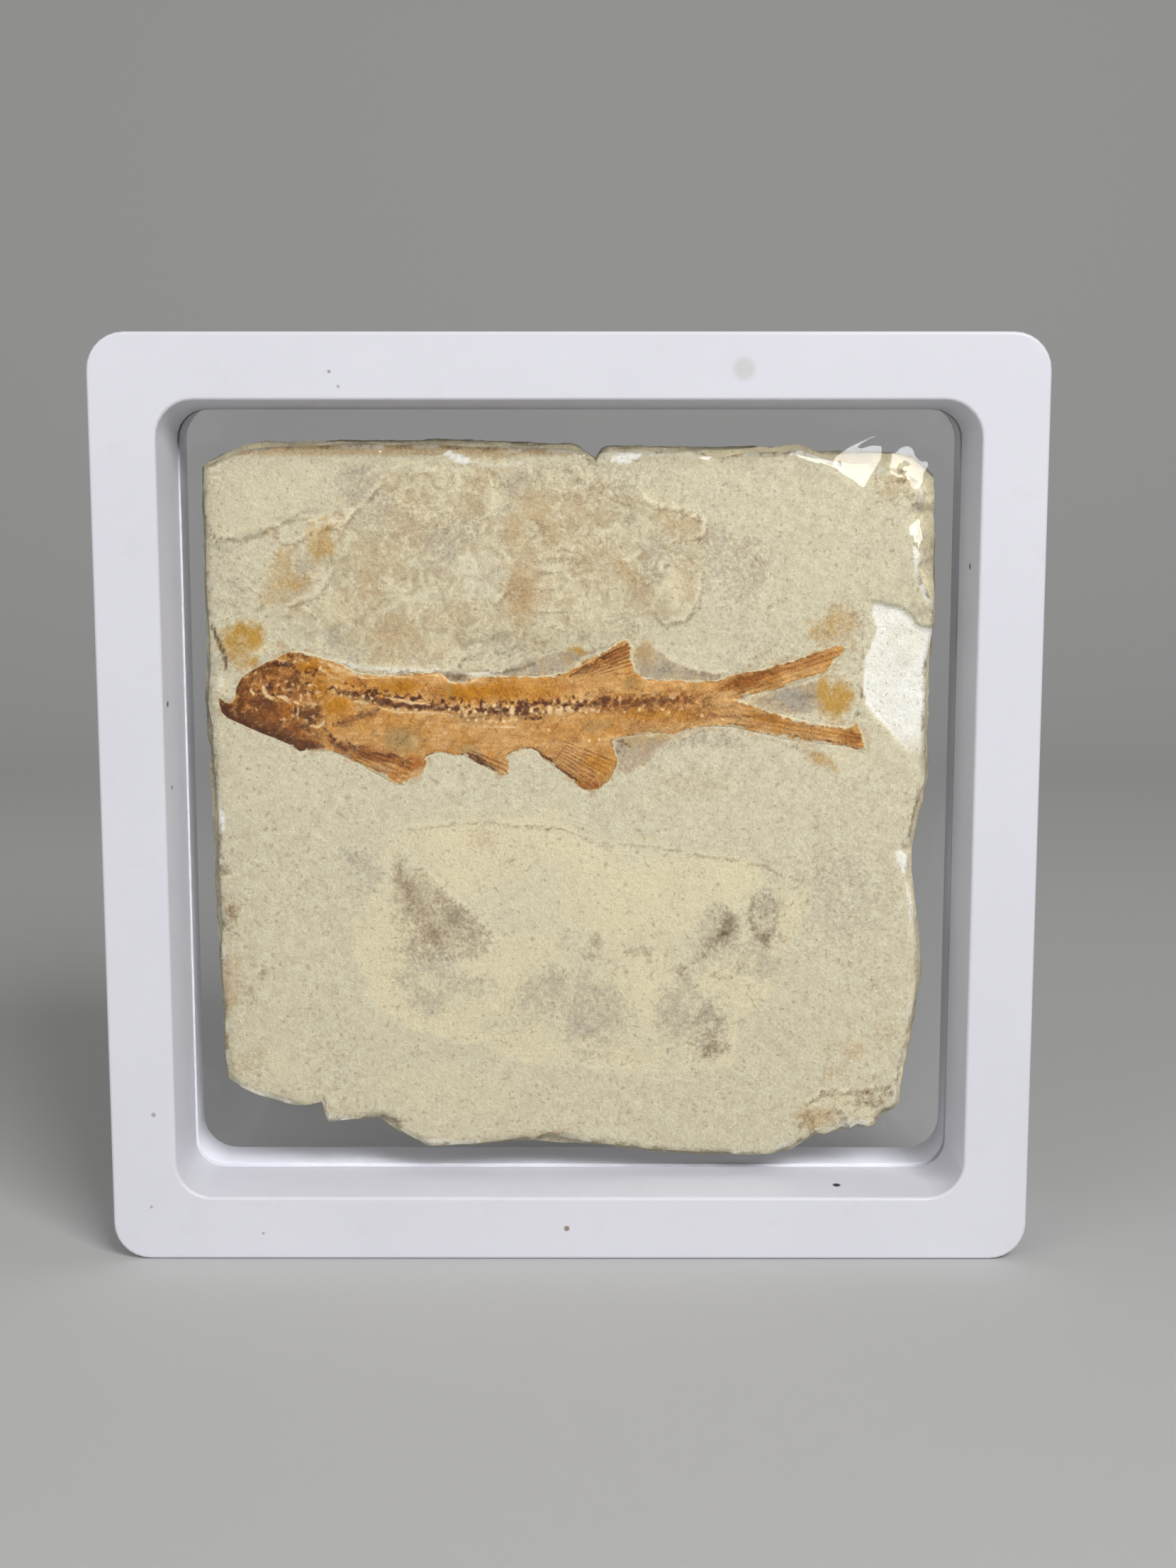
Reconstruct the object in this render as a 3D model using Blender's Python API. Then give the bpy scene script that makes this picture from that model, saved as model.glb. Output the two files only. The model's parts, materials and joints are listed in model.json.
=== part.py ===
"""Fossil fish slab in a small white display frame.

A thin slab of pale shale carries the orange-brown bones of one fish. It hangs between two
clear elastic films. Each film is held by one half of a square plastic frame, and the two
halves open like a book about a moulded hinge on the left.

X runs to the right, the fish faces the viewer on the -Y side, and Z is up. Shapes are drawn
about the middle of the frame, in its middle plane, and one empty stands them on Z = 0.
"""
import math
import random

import bmesh
import bpy
from mathutils import Vector
from mathutils.geometry import convex_hull_2d

MM = 0.001

# Driving dimensions of the frame, in metres
FRAME_SIZE = 110.0 * MM
FRAME_DEPTH = 20.0 * MM
OUTER_RADIUS = 4.4 * MM
INNER_RADIUS = 4.3 * MM
EDGE_ROUND = 0.4 * MM
WINDOW_FRONT = 94.54 * MM
WINDOW_SEAT = 92.8 * MM
WALL = 1.6 * MM
RIM_WIDTH = 1.7 * MM
SEAM_GAP = 0.3 * MM
FIT_GAP = 0.3 * MM

# The films
FILM_THICKNESS = 0.25 * MM
FILM_BORDER = 96.0 * MM
FILM_BEND = 92.4 * MM
FILM_MARGIN = 0.4 * MM

# The moulded hinge on the left side
HINGE_HEIGHTS = (-28.0 * MM, 28.0 * MM)
HINGE_OFFSET = 0.7 * MM
KNUCKLE_RADIUS = 1.2 * MM
KNUCKLE_LENGTH = 4.0 * MM
STUB_RADIUS = 0.48 * MM
STUB_LENGTH = 2.0 * MM
SOCKET_RADIUS = 0.56 * MM
ROUND_STEPS = 16
HINGE_X = -(FRAME_SIZE / 2 + HINGE_OFFSET)
HINGE_REACH = HINGE_OFFSET + KNUCKLE_RADIUS

# The closing tongues and the fingernail scoop on the right side
TONGUE_HEIGHTS = (-28.0 * MM, 28.0 * MM)
TONGUE_WIDTH = 8.0 * MM
TONGUE_REACH = 2.5 * MM
SCOOP_SIZE = (2.3 * MM, 1.7 * MM, 9.0 * MM)
SCOOP_CENTRE_OUT = 1.5 * MM

# The slab of shale and the fish in it
SLAB_THICKNESS = 6.0 * MM
SLAB_FRONT = -SLAB_THICKNESS / 2
FACE_BED = 0.9 * MM
REAR_BED = 2.0 * MM
BED_OVERLAP = 0.1 * MM
SIDE_STEP = 4.0 * MM
POCKET_DEPTH = 0.6 * MM
LEDGE_DEPTH = 0.4 * MM
FISH_PLATE = 0.3 * MM
FISH_RELIEF = 0.45 * MM
FISH_BACK = SLAB_FRONT + POCKET_DEPTH - FIT_GAP
FISH_FACE = FISH_BACK - FISH_PLATE
BONE_ROOT = FISH_BACK - FISH_PLATE / 2
BODY_TOP = FISH_FACE - 0.20 * MM
BONE_TOP = FISH_FACE - FISH_RELIEF

# Outlines below are in millimetres from the frame's middle: to the right, then up.
SILHOUETTE = [
    (-43.1, 40.0), (-39.2, 41.6), (-36.0, 42.4), (-25.4, 42.7), (-15.2, 42.7), (-9.2, 42.4),
    (0.4, 42.1), (3.2, 40.4), (3.9, 42.0), (8.7, 41.9), (15.6, 41.6), (17.9, 41.0),
    (21.2, 41.6), (27.0, 41.8), (29.6, 41.1), (36.8, 41.0), (42.6, 40.6), (43.1, 38.0),
    (43.1, 29.2), (43.6, 22.0), (43.0, 17.2), (42.9, 8.3), (43.1, 2.6), (41.9, -1.7),
    (41.2, -5.6), (40.9, -8.3), (41.7, -11.5), (42.7, -20.5), (41.8, -28.1), (40.6, -34.3),
    (40.4, -38.1), (37.8, -39.7), (37.6, -40.6), (33.2, -41.0), (29.5, -42.1), (26.7, -43.8),
    (22.0, -44.6), (11.6, -43.8), (2.9, -42.9), (-6.0, -42.4), (-11.8, -43.1),
    (-17.6, -43.4), (-21.0, -41.4), (-23.6, -39.7), (-29.8, -40.4), (-30.3, -37.8),
    (-33.5, -38.3), (-38.2, -37.0), (-42.1, -34.9), (-42.4, -25.4), (-42.6, -8.9),
    (-43.0, 5.0), (-43.5, 11.7), (-43.1, 19.6), (-43.2, 33.1)]

# The bed that shows the fish: chipped back along the top, the right side and the foot
FACE_OUTLINE = [
    (-42.7, 39.3), (-39.0, 41.0), (-35.5, 41.6), (-25.4, 41.7), (-15.2, 41.6), (-9.2, 41.3),
    (0.4, 41.1), (3.2, 39.9), (4.1, 40.9), (8.7, 41.0), (15.6, 40.8), (17.9, 40.3),
    (21.2, 41.0), (27.0, 41.1), (29.6, 40.3), (39.0, 39.8), (41.3, 37.6), (41.6, 35.0),
    (40.3, 33.2), (41.6, 29.2), (40.8, 28.0), (42.0, 25.4), (43.1, 22.4), (42.4, 17.2),
    (42.4, 8.3), (42.5, 2.6), (41.3, -1.7), (40.6, -5.6), (40.3, -8.3), (41.1, -11.5),
    (42.1, -20.5), (41.2, -28.1), (39.6, -34.3), (37.4, -37.0), (33.4, -39.3),
    (29.5, -41.0), (26.2, -42.8), (22.0, -43.8), (11.6, -43.2), (2.9, -42.4), (-6.0, -41.9),
    (-11.8, -42.3), (-16.6, -41.6), (-20.4, -39.6), (-23.6, -39.0), (-29.3, -39.6),
    (-29.8, -37.2), (-33.5, -37.6), (-38.2, -36.3), (-41.6, -34.3), (-41.9, -25.4),
    (-42.1, -8.9), (-42.5, 5.0), (-43.0, 11.7), (-42.6, 19.6), (-42.7, 33.1)]

# Where a flake has come away beyond the tail, and above and below it
FLAKED_LEDGE = [
    (35.6, 25.6), (38.6, 24.6), (41.0, 23.0), (45.0, 23.0), (45.0, -1.0), (41.0, 0.4),
    (39.4, 4.0), (36.8, 6.2), (35.0, 10.6), (34.8, 18.0)]

# The thin remains of the next bed, which still cover the upper left of the slab
UPPER_BED = [
    (-42.4, 30.6), (-38.6, 31.6), (-34.4, 31.2), (-30.8, 33.8), (-27.0, 38.2), (-22.0, 41.2),
    (-35.6, 41.2), (-38.9, 40.6), (-42.3, 39.0)]
UPPER_BED_HEIGHT = 0.25 * MM

# The fish, clockwise from the snout, all fins included
FISH_OUTLINE = [
    (-41.3, 11.2), (-39.9, 12.4), (-39.0, 14.7), (-36.2, 16.5), (-32.4, 17.8), (-30.5, 17.4),
    (-26.0, 15.6), (-20.6, 15.2), (-14.7, 14.6), (-8.6, 14.7), (-1.8, 14.8), (1.0, 16.6),
    (4.6, 18.5), (6.6, 19.3), (7.2, 18.2), (7.9, 15.0), (10.4, 14.3), (17.1, 14.6),
    (21.9, 15.7), (26.4, 16.9), (31.7, 18.9), (33.0, 18.8), (31.8, 16.2), (27.2, 14.0),
    (23.4, 12.9), (20.8, 12.1), (24.2, 10.9), (28.8, 9.5), (33.6, 9.2), (35.7, 6.5),
    (31.9, 6.7), (26.5, 7.2), (20.4, 8.8), (14.9, 8.6), (9.5, 8.1), (5.2, 7.6), (5.8, 5.0),
    (4.8, 2.8), (2.6, 1.0), (0.2, 2.6), (-3.4, 6.0), (-6.9, 6.1), (-7.0, 3.7), (-8.2, 3.1),
    (-10.8, 4.4), (-13.0, 5.7), (-16.4, 5.6), (-17.6, 3.2), (-20.5, 1.8), (-23.8, 3.6),
    (-28.2, 5.9), (-32.3, 6.0), (-36.7, 8.2), (-40.0, 9.6)]

# The trunk's upper and lower edges from gill to tail: x, top, bottom
TRUNK = [
    (-29.0, 16.4, 6.6), (-25.0, 15.2, 6.2), (-20.0, 14.8, 6.1), (-14.0, 14.2, 6.2),
    (-8.0, 14.3, 6.6), (-2.0, 14.2, 7.2), (4.0, 14.4, 8.2), (10.0, 13.9, 8.5),
    (16.0, 14.2, 8.9), (21.0, 14.6, 9.6), (24.0, 14.2, 10.2)]

# The backbone dips behind the head and runs straight to the tail
BACKBONE = [(-28.5, 13.5), (-20.6, 11.9), (-13.2, 10.7), (-7.1, 10.4), (1.9, 11.4), (22.0, 12.3)]
VERTEBRAE = 38
RIB_COUNT = 15

# Fins: where the first and last ray start, where they end, and how many rays there are
FINS = [
    ("dorsal", (-0.2, 14.4), (7.0, 14.2), (5.9, 18.6), (7.3, 15.6), 8),
    ("anal", (-2.2, 6.6), (4.8, 7.6), (2.6, 1.6), (5.2, 4.4), 9),
    ("pelvic", (-12.2, 6.0), (-9.0, 6.2), (-8.4, 3.7), (-7.3, 4.6), 4),
    ("pectoral", (-27.0, 6.2), (-22.0, 6.6), (-20.8, 2.3), (-17.2, 4.6), 6),
    ("upper lobe", (21.6, 14.6), (22.4, 13.1), (31.6, 18.3), (31.0, 16.4), 5),
    ("lower lobe", (21.6, 9.2), (22.6, 10.9), (34.6, 6.8), (33.0, 8.8), 5)]


def clear_scene():
    """Start from an empty scene."""
    for old in list(bpy.data.objects):
        bpy.data.objects.remove(old, do_unlink=True)


def make_material(name, colour, roughness, metallic=0.0, transmission=0.0):
    """One Principled finish: colour is linear red, green and blue."""
    material = bpy.data.materials.new(name)
    material.use_nodes = True
    shader = material.node_tree.nodes["Principled BSDF"]
    shader.inputs["Base Color"].default_value = (*colour, 1.0)
    shader.inputs["Roughness"].default_value = roughness
    shader.inputs["Metallic"].default_value = metallic
    shader.inputs["Transmission Weight"].default_value = transmission
    material.diffuse_color = (*colour, 1.0 - 0.7 * transmission)
    return material


def make_object(name, bm, parent, material=None, smooth_below=None):
    """Turn a bmesh into a parented object whose faces all point outwards."""
    bmesh.ops.recalc_face_normals(bm, faces=bm.faces[:])
    mesh = bpy.data.meshes.new(name)
    bm.to_mesh(mesh)
    bm.free()
    if smooth_below is not None:
        mesh.shade_smooth()
        mesh.set_sharp_from_angle(angle=math.radians(smooth_below))
    made = bpy.data.objects.new(name, mesh)
    bpy.context.scene.collection.objects.link(made)
    made.parent = parent
    if material is not None:
        mesh.materials.append(material)
    return made


def make_guide(name, bm, parent):
    """A shape that only cuts or joins other shapes."""
    guide = make_object(name, bm, parent)
    guide.hide_render = True
    guide.display_type = 'WIRE'
    return guide


def combine(target, guide, operation, self_overlap=False):
    """Join or cut the target with a guide."""
    step = target.modifiers.new(guide.name, 'BOOLEAN')
    step.operation = operation
    step.object = guide
    step.solver = 'EXACT'
    step.use_self = self_overlap


def to_metres(points):
    """Hand-read outline points, from millimetres to metres."""
    return [(x * MM, z * MM) for x, z in points]


def add_prism(bm, outline, front, back):
    """Extrude a closed outline of (x, z) points from y = front to y = back."""
    near = [bm.verts.new((x, front, z)) for x, z in outline]
    far = [bm.verts.new((x, back, z)) for x, z in outline]
    bm.faces.new(near)
    bm.faces.new(far[::-1])
    count = len(outline)
    for i in range(count):
        j = (i + 1) % count
        bm.faces.new((near[i], far[i], far[j], near[j]))


def add_upright_prism(bm, outline, bottom, top):
    """Extrude a closed outline of (x, y) points from z = bottom to z = top."""
    low = [bm.verts.new((x, y, bottom)) for x, y in outline]
    high = [bm.verts.new((x, y, top)) for x, y in outline]
    bm.faces.new(low)
    bm.faces.new(high[::-1])
    count = len(outline)
    for i in range(count):
        j = (i + 1) % count
        bm.faces.new((low[i], high[i], high[j], low[j]))


def add_box(bm, low, high):
    """A box between two corners."""
    corners = [(low[0], low[2]), (high[0], low[2]), (high[0], high[2]), (low[0], high[2])]
    add_prism(bm, corners, low[1], high[1])


def circle(centre, radius, steps=ROUND_STEPS):
    """Points round a circle whose flats keep at least the given radius."""
    reach = radius / math.cos(math.pi / steps)
    turns = [2 * math.pi * (i + 0.5) / steps for i in range(steps)]
    return [(centre[0] + reach * math.cos(a), centre[1] + reach * math.sin(a)) for a in turns]


def rounded_square(width, radius, arc_steps=7, side_steps=1):
    """A square ring with round corners, as (x, z) points about the middle."""
    half = width / 2 - radius
    ring = []
    for corner, (sx, sz) in enumerate([(1, 1), (-1, 1), (-1, -1), (1, -1)]):
        arc = [math.radians(90 * (corner + i / arc_steps)) for i in range(arc_steps + 1)]
        points = [(sx * half + radius * math.cos(a), sz * half + radius * math.sin(a))
                  for a in arc]
        if ring:
            ring += cut_side(ring[-1], points[0], side_steps)
        ring += points
    return ring + cut_side(ring[-1], ring[0], side_steps)


def cut_side(start, end, steps):
    """The points between two ends that part a straight side into equal steps."""
    return [tuple(Vector(start).lerp(Vector(end), i / steps)) for i in range(1, steps)]


def offset_outline(outline, distance):
    """Move every side of a clockwise outline outwards by one distance."""
    count = len(outline)
    moved = []
    for i in range(count):
        here = Vector(outline[i])
        before = (here - Vector(outline[i - 1])).normalized()
        after = (Vector(outline[(i + 1) % count]) - here).normalized()
        out_before = Vector((-before.y, before.x))
        out_after = Vector((-after.y, after.x))
        bisector = (out_before + out_after).normalized()
        stretch = max(bisector.dot(out_after), 0.3)
        moved.append(tuple(here + bisector * distance / stretch))
    return moved


def roughen(outline, step, depth, seed):
    """Cut long sides into short ones and chip each point inwards by a seeded amount."""
    chips = random.Random(seed)
    count = len(outline)
    rough = []
    for i in range(count):
        start = Vector(outline[i])
        end = Vector(outline[(i + 1) % count])
        side = end - start
        inwards = Vector((side.y, -side.x)).normalized()
        pieces = max(1, round(side.length / step))
        for k in range(pieces):
            rough.append(tuple(start + side * k / pieces + inwards * depth * chips.random()))
    return rough


def on_curve(points, x):
    """Height of a broken line at x, from its (x, value) points."""
    for (x0, v0), (x1, v1) in zip(points, points[1:]):
        if x <= x1:
            return v0 + (v1 - v0) * (x - x0) / (x1 - x0)
    return points[-1][1]


def half_profile():
    """The section of a frame half as (window width, y, corner offset) steps.

    y is measured from the middle plane towards the viewer. The wall is a channel that is
    open at the middle plane: outer wall, front face, and an inner wall that leans in to the
    rim which carries the film.
    """
    face = FRAME_DEPTH / 2
    seam = SEAM_GAP / 2
    rim = seam + FILM_THICKNESS + FIT_GAP
    lean = (WINDOW_FRONT - WINDOW_SEAT) / 2 / face
    channel_floor = face - WALL
    outer = [
        (FRAME_SIZE - 2 * WALL, seam), (FRAME_SIZE, seam),
        (FRAME_SIZE, face - EDGE_ROUND), (FRAME_SIZE - 0.6 * EDGE_ROUND, face - 0.3 * EDGE_ROUND),
        (FRAME_SIZE - 2 * EDGE_ROUND, face)]
    inner_foot = WINDOW_FRONT - 2 * lean * EDGE_ROUND
    inner = [
        (WINDOW_FRONT + 2 * EDGE_ROUND, face),
        (WINDOW_FRONT + 0.6 * EDGE_ROUND, face - 0.3 * EDGE_ROUND),
        (inner_foot, face - EDGE_ROUND), (WINDOW_SEAT + 2 * lean * rim, rim),
        (WINDOW_SEAT + 2 * lean * rim + 2 * RIM_WIDTH, rim),
        (WINDOW_FRONT + 2 * WALL, channel_floor)]
    channel = [(FRAME_SIZE - 2 * WALL, channel_floor)]
    outer_radius = OUTER_RADIUS - FRAME_SIZE / 2
    inner_radius = INNER_RADIUS - WINDOW_FRONT / 2
    steps = [(w, y, w / 2 + outer_radius) for w, y in outer]
    steps += [(w, y, w / 2 + inner_radius) for w, y in inner]
    return steps + [(w, y, w / 2 + outer_radius) for w, y in channel]


def build_half(name, side, parent, offset, material):
    """One frame half; side is -1 for the viewer's half and +1 for the rear one."""
    bm = bmesh.new()
    rings = []
    for width, depth, radius in half_profile():
        ring = rounded_square(width, radius)
        rings.append([bm.verts.new((x + offset, side * depth, z)) for x, z in ring])
    for ring, after in zip(rings, rings[1:] + rings[:1]):
        count = len(ring)
        for i in range(count):
            j = (i + 1) % count
            bm.faces.new((ring[i], ring[j], after[j], after[i]))
    return make_object(name, bm, parent, material, smooth_below=14)


def lug_outline(side, offset):
    """A knuckle seen from above, with the web that ties it to its own half's wall."""
    x = HINGE_X + offset
    wall = -FRAME_SIZE / 2 + offset
    reach = KNUCKLE_RADIUS
    arc = [math.radians(180 + 22.5 * i) for i in range(9)]
    knuckle = [(x + reach * math.cos(a), reach * math.sin(a)) for a in arc]
    web = [(wall + WALL / 2, 2.6 * reach), (wall, 2.6 * reach), (x - reach / 3, 0.94 * reach)]
    outline = knuckle + web
    return [(px, side * py) for px, py in outline]


def knuckle_spans(height):
    """The bottom and top of the middle knuckle and of the two beside it."""
    half = KNUCKLE_LENGTH / 2
    gap = FIT_GAP
    middle = (height - half, height + half)
    below = (middle[0] - gap - KNUCKLE_LENGTH * 0.75, middle[0] - gap)
    above = (middle[1] + gap, middle[1] + gap + KNUCKLE_LENGTH * 0.75)
    return middle, below, above


def add_hinges(front, rear, front_offset, parent_front, parent_rear):
    """Front half: middle knuckles with stubs. Rear half: outer knuckles with sockets."""
    front_lugs = bmesh.new()
    front_relief = bmesh.new()
    rear_lugs = bmesh.new()
    rear_relief = bmesh.new()
    sockets = bmesh.new()
    clearance = KNUCKLE_RADIUS + FIT_GAP
    front_axis = (HINGE_X + front_offset, 0.0)
    rear_axis = (HINGE_X, 0.0)
    for height in HINGE_HEIGHTS:
        middle, below, above = knuckle_spans(height)
        add_upright_prism(front_lugs, lug_outline(-1, front_offset), *middle)
        stub = circle(front_axis, STUB_RADIUS * math.cos(math.pi / ROUND_STEPS))
        reach = FIT_GAP + STUB_LENGTH
        add_upright_prism(front_lugs, stub, middle[0] - reach, middle[1] + reach)
        add_upright_prism(rear_relief, circle(rear_axis, clearance),
                          middle[0] - FIT_GAP, middle[1] + FIT_GAP)
        for low, high in (below, above):
            add_upright_prism(rear_lugs, lug_outline(1, 0.0), low, high)
            add_upright_prism(front_relief, circle(front_axis, clearance),
                              low - FIT_GAP, high + FIT_GAP)
        add_upright_prism(sockets, circle(rear_axis, SOCKET_RADIUS),
                          below[0] - FIT_GAP, above[1] + FIT_GAP)
    steps = [
        (front, "front_relief", front_relief, 'DIFFERENCE', parent_front),
        (front, "front_lugs", front_lugs, 'UNION', parent_front),
        (rear, "rear_relief", rear_relief, 'DIFFERENCE', parent_rear),
        (rear, "rear_lugs", rear_lugs, 'UNION', parent_rear),
        (rear, "hinge_sockets", sockets, 'DIFFERENCE', parent_rear)]
    for half, name, bm, operation, parent in steps:
        combine(half, make_guide(name, bm, parent), operation, self_overlap=True)


def add_tongues(front, offset, parent):
    """Two tongues on the front half, which slip inside the rear half's channel."""
    bm = bmesh.new()
    wall = FRAME_SIZE / 2 - WALL + offset
    for height in TONGUE_HEIGHTS:
        low = height - TONGUE_WIDTH / 2
        high = height + TONGUE_WIDTH / 2
        add_box(bm, (wall - 1.4 * MM, -5.0 * MM, low), (wall + 0.5 * MM, -0.45 * MM, high))
        add_box(bm, (wall - 1.4 * MM, -1.0 * MM, low), (wall - FIT_GAP, TONGUE_REACH, high))
    combine(front, make_guide("tongues", bm, parent), 'UNION', self_overlap=True)


def add_scoop(half, name, offset, parent):
    """The shallow scoop on the seam where a fingernail parts the halves."""
    bm = bmesh.new()
    bmesh.ops.create_uvsphere(bm, u_segments=12, v_segments=8, radius=1.0)
    centre_x = FRAME_SIZE / 2 + SCOOP_CENTRE_OUT + offset
    for vert in bm.verts:
        x, y, z = vert.co
        vert.co = (centre_x + x * SCOOP_SIZE[0], y * SCOOP_SIZE[1], z * SCOOP_SIZE[2])
    combine(half, make_guide(name, bm, parent), 'DIFFERENCE')


def slab_reach(hull, direction):
    """How far the slab's hull goes from the middle in one direction."""
    far = 0.0
    count = len(hull)
    for i in range(count):
        a = Vector(hull[i])
        side = Vector(hull[(i + 1) % count]) - a
        bend = direction.x * side.y - direction.y * side.x
        if abs(bend) > 1e-12:
            along = (a.x * side.y - a.y * side.x) / bend
            spot = (a.x * direction.y - a.y * direction.x) / bend
            if along > 0 and -1e-6 <= spot <= 1 + 1e-6:
                far = max(far, along)
    return far


def build_film(name, side, height, parent, offset, material):
    """A clear film: flat under the rim, then stretched up over the slab's face."""
    outline = to_metres(SILHOUETTE)
    hull = [Vector(outline[i]) for i in convex_hull_2d(outline)]
    corner = INNER_RADIUS - WINDOW_FRONT / 2
    border = rounded_square(FILM_BORDER, FILM_BORDER / 2 + corner, 4, 8)
    bend = rounded_square(FILM_BEND, FILM_BEND / 2 + corner, 4, 8)
    over_slab = []
    for point in bend:
        direction = Vector(point).normalized()
        over_slab.append(tuple(direction * (slab_reach(hull, direction) + FILM_MARGIN)))
    bm = bmesh.new()
    inner_seam = SEAM_GAP / 2
    layers = []
    for lift in (0.0, FILM_THICKNESS):
        heights = (inner_seam + lift, inner_seam + lift, height + lift)
        layers.append([[bm.verts.new((x + offset, side * y, z)) for x, z in ring]
                       for ring, y in zip((border, bend, over_slab), heights)])
    count = len(border)
    for rings in layers:
        for ring, after in zip(rings, rings[1:]):
            for i in range(count):
                j = (i + 1) % count
                bm.faces.new((ring[i], ring[j], after[j], after[i]))
        bm.faces.new(rings[-1])
    for i in range(count):
        j = (i + 1) % count
        bm.faces.new((layers[0][0][i], layers[0][0][j], layers[1][0][j], layers[1][0][i]))
    return make_object(name, bm, parent, material, smooth_below=25)


def build_slab(parent, material):
    """Beds of shale with broken edges, a flaked ledge and the fish's shallow pocket."""
    face = to_metres(FACE_OUTLINE)
    face_floor = SLAB_FRONT + FACE_BED
    face_split = SLAB_FRONT + FACE_BED / 2
    rear = -SLAB_FRONT
    rear_ceiling = rear - REAR_BED
    beds = [
        ("core", to_metres(SILHOUETTE), face_floor, rear_ceiling, 0.25 * MM, 4),
        ("face_bed", face, SLAB_FRONT, face_split, 0.3 * MM, 8),
        ("under_bed", offset_outline(face, 0.15 * MM), face_split, face_floor, 0.3 * MM, 9),
        ("rear_bed", offset_outline(face, -0.5 * MM), rear_ceiling, rear, 0.8 * MM, 3)]
    slab = None
    for name, outline, front, back, chip, seed in beds:
        bm = bmesh.new()
        overlap = 0.0 if name == "rear_bed" else BED_OVERLAP
        add_prism(bm, roughen(outline, SIDE_STEP, chip, seed), front, back + overlap)
        if slab is None:
            slab = make_object("slab", bm, parent, material)
        else:
            combine(slab, make_guide(name, bm, parent), 'UNION')

    bm = bmesh.new()
    scrap = roughen(to_metres(UPPER_BED), 2.0 * MM, 0.3 * MM, seed=5)
    add_prism(bm, scrap, SLAB_FRONT - UPPER_BED_HEIGHT, SLAB_FRONT + BED_OVERLAP)
    combine(slab, make_guide("upper_bed", bm, parent), 'UNION')

    bm = bmesh.new()
    ledge = roughen(to_metres(FLAKED_LEDGE), 2.0 * MM, 0.4 * MM, seed=6)
    add_prism(bm, ledge, SLAB_FRONT - 2 * MM, SLAB_FRONT + LEDGE_DEPTH)
    combine(slab, make_guide("flaked_ledge", bm, parent), 'DIFFERENCE')

    bm = bmesh.new()
    pocket = offset_outline(to_metres(FISH_OUTLINE), FIT_GAP)
    add_prism(bm, pocket, SLAB_FRONT - 2 * MM, SLAB_FRONT + POCKET_DEPTH)
    combine(slab, make_guide("fish_pocket", bm, parent), 'DIFFERENCE')
    return slab


def add_ridge(bm, start, end, width, top=BONE_TOP):
    """A thin bone or fin ray: a three-sided bar that tapers to its far end."""
    a = Vector(start) * MM
    b = Vector(end) * MM
    across = (b - a).normalized()
    across = Vector((-across.y, across.x)) * width / 2
    ends = []
    for spot, share in ((a, 1.0), (b, 0.6)):
        left = spot + across * share
        right = spot - across * share
        ends.append([bm.verts.new((left.x, BONE_ROOT, left.y)),
                     bm.verts.new((spot.x, top, spot.y)),
                     bm.verts.new((right.x, BONE_ROOT, right.y))])
    near, far = ends
    bm.faces.new(near)
    bm.faces.new(far[::-1])
    for i in range(3):
        j = (i + 1) % 3
        bm.faces.new((near[i], far[i], far[j], near[j]))


def add_plate(bm, outline, top, shrink):
    """A low bone plate with sloping sides; shrink draws its top in towards its middle."""
    points = [Vector(p) * MM for p in outline]
    middle = sum(points, Vector((0.0, 0.0))) / len(points)
    root = [bm.verts.new((p.x, BONE_ROOT, p.y)) for p in points]
    crown_points = [middle + (p - middle) * shrink for p in points]
    crown = [bm.verts.new((p.x, top, p.y)) for p in crown_points]
    bm.faces.new(root)
    bm.faces.new(crown[::-1])
    for i in range(len(points)):
        j = (i + 1) % len(points)
        bm.faces.new((root[i], crown[i], crown[j], root[j]))


def oval(centre, width, height, steps=10, tilt=0.0):
    """Points round an oval, in millimetres; tilt is in degrees."""
    points = []
    for i in range(steps):
        turn = 2 * math.pi * i / steps
        x = width / 2 * math.cos(turn)
        z = height / 2 * math.sin(turn)
        lean = math.radians(tilt)
        points.append((centre[0] + x * math.cos(lean) - z * math.sin(lean),
                       centre[1] + x * math.sin(lean) + z * math.cos(lean)))
    return points


def add_trunk(bm):
    """The flank: a low pillow between the back and the belly."""
    upper = [(x, top) for x, top, bottom in TRUNK]
    lower = [(x, bottom) for x, top, bottom in TRUNK][::-1]
    rim = [Vector(p) * MM for p in upper + lower]
    inner = []
    for x, top, bottom in TRUNK:
        inner.append((x + 0.4, top - 0.25 * (top - bottom)))
    for x, top, bottom in TRUNK[::-1]:
        inner.append((x + 0.4, bottom + 0.25 * (top - bottom)))
    crown = [Vector(p) * MM for p in inner]
    low = [bm.verts.new((p.x, BONE_ROOT, p.y)) for p in rim]
    high = [bm.verts.new((p.x, BODY_TOP, p.y)) for p in crown]
    bm.faces.new(low)
    bm.faces.new(high[::-1])
    for i in range(len(rim)):
        j = (i + 1) % len(rim)
        bm.faces.new((low[i], high[i], high[j], low[j]))


def add_vertebrae(bm):
    """The backbone as a row of low beads that shrink towards the tail."""
    first = BACKBONE[0][0]
    last = BACKBONE[-1][0]
    for i in range(VERTEBRAE):
        share = (i + 0.5) / VERTEBRAE
        x = first + (last - first) * share
        size = 1.0 - 0.3 * share
        bead = oval((x, on_curve(BACKBONE, x)), 0.95 * size, 1.25 * size, steps=6)
        add_plate(bm, bead, BONE_TOP, 0.75)


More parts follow.
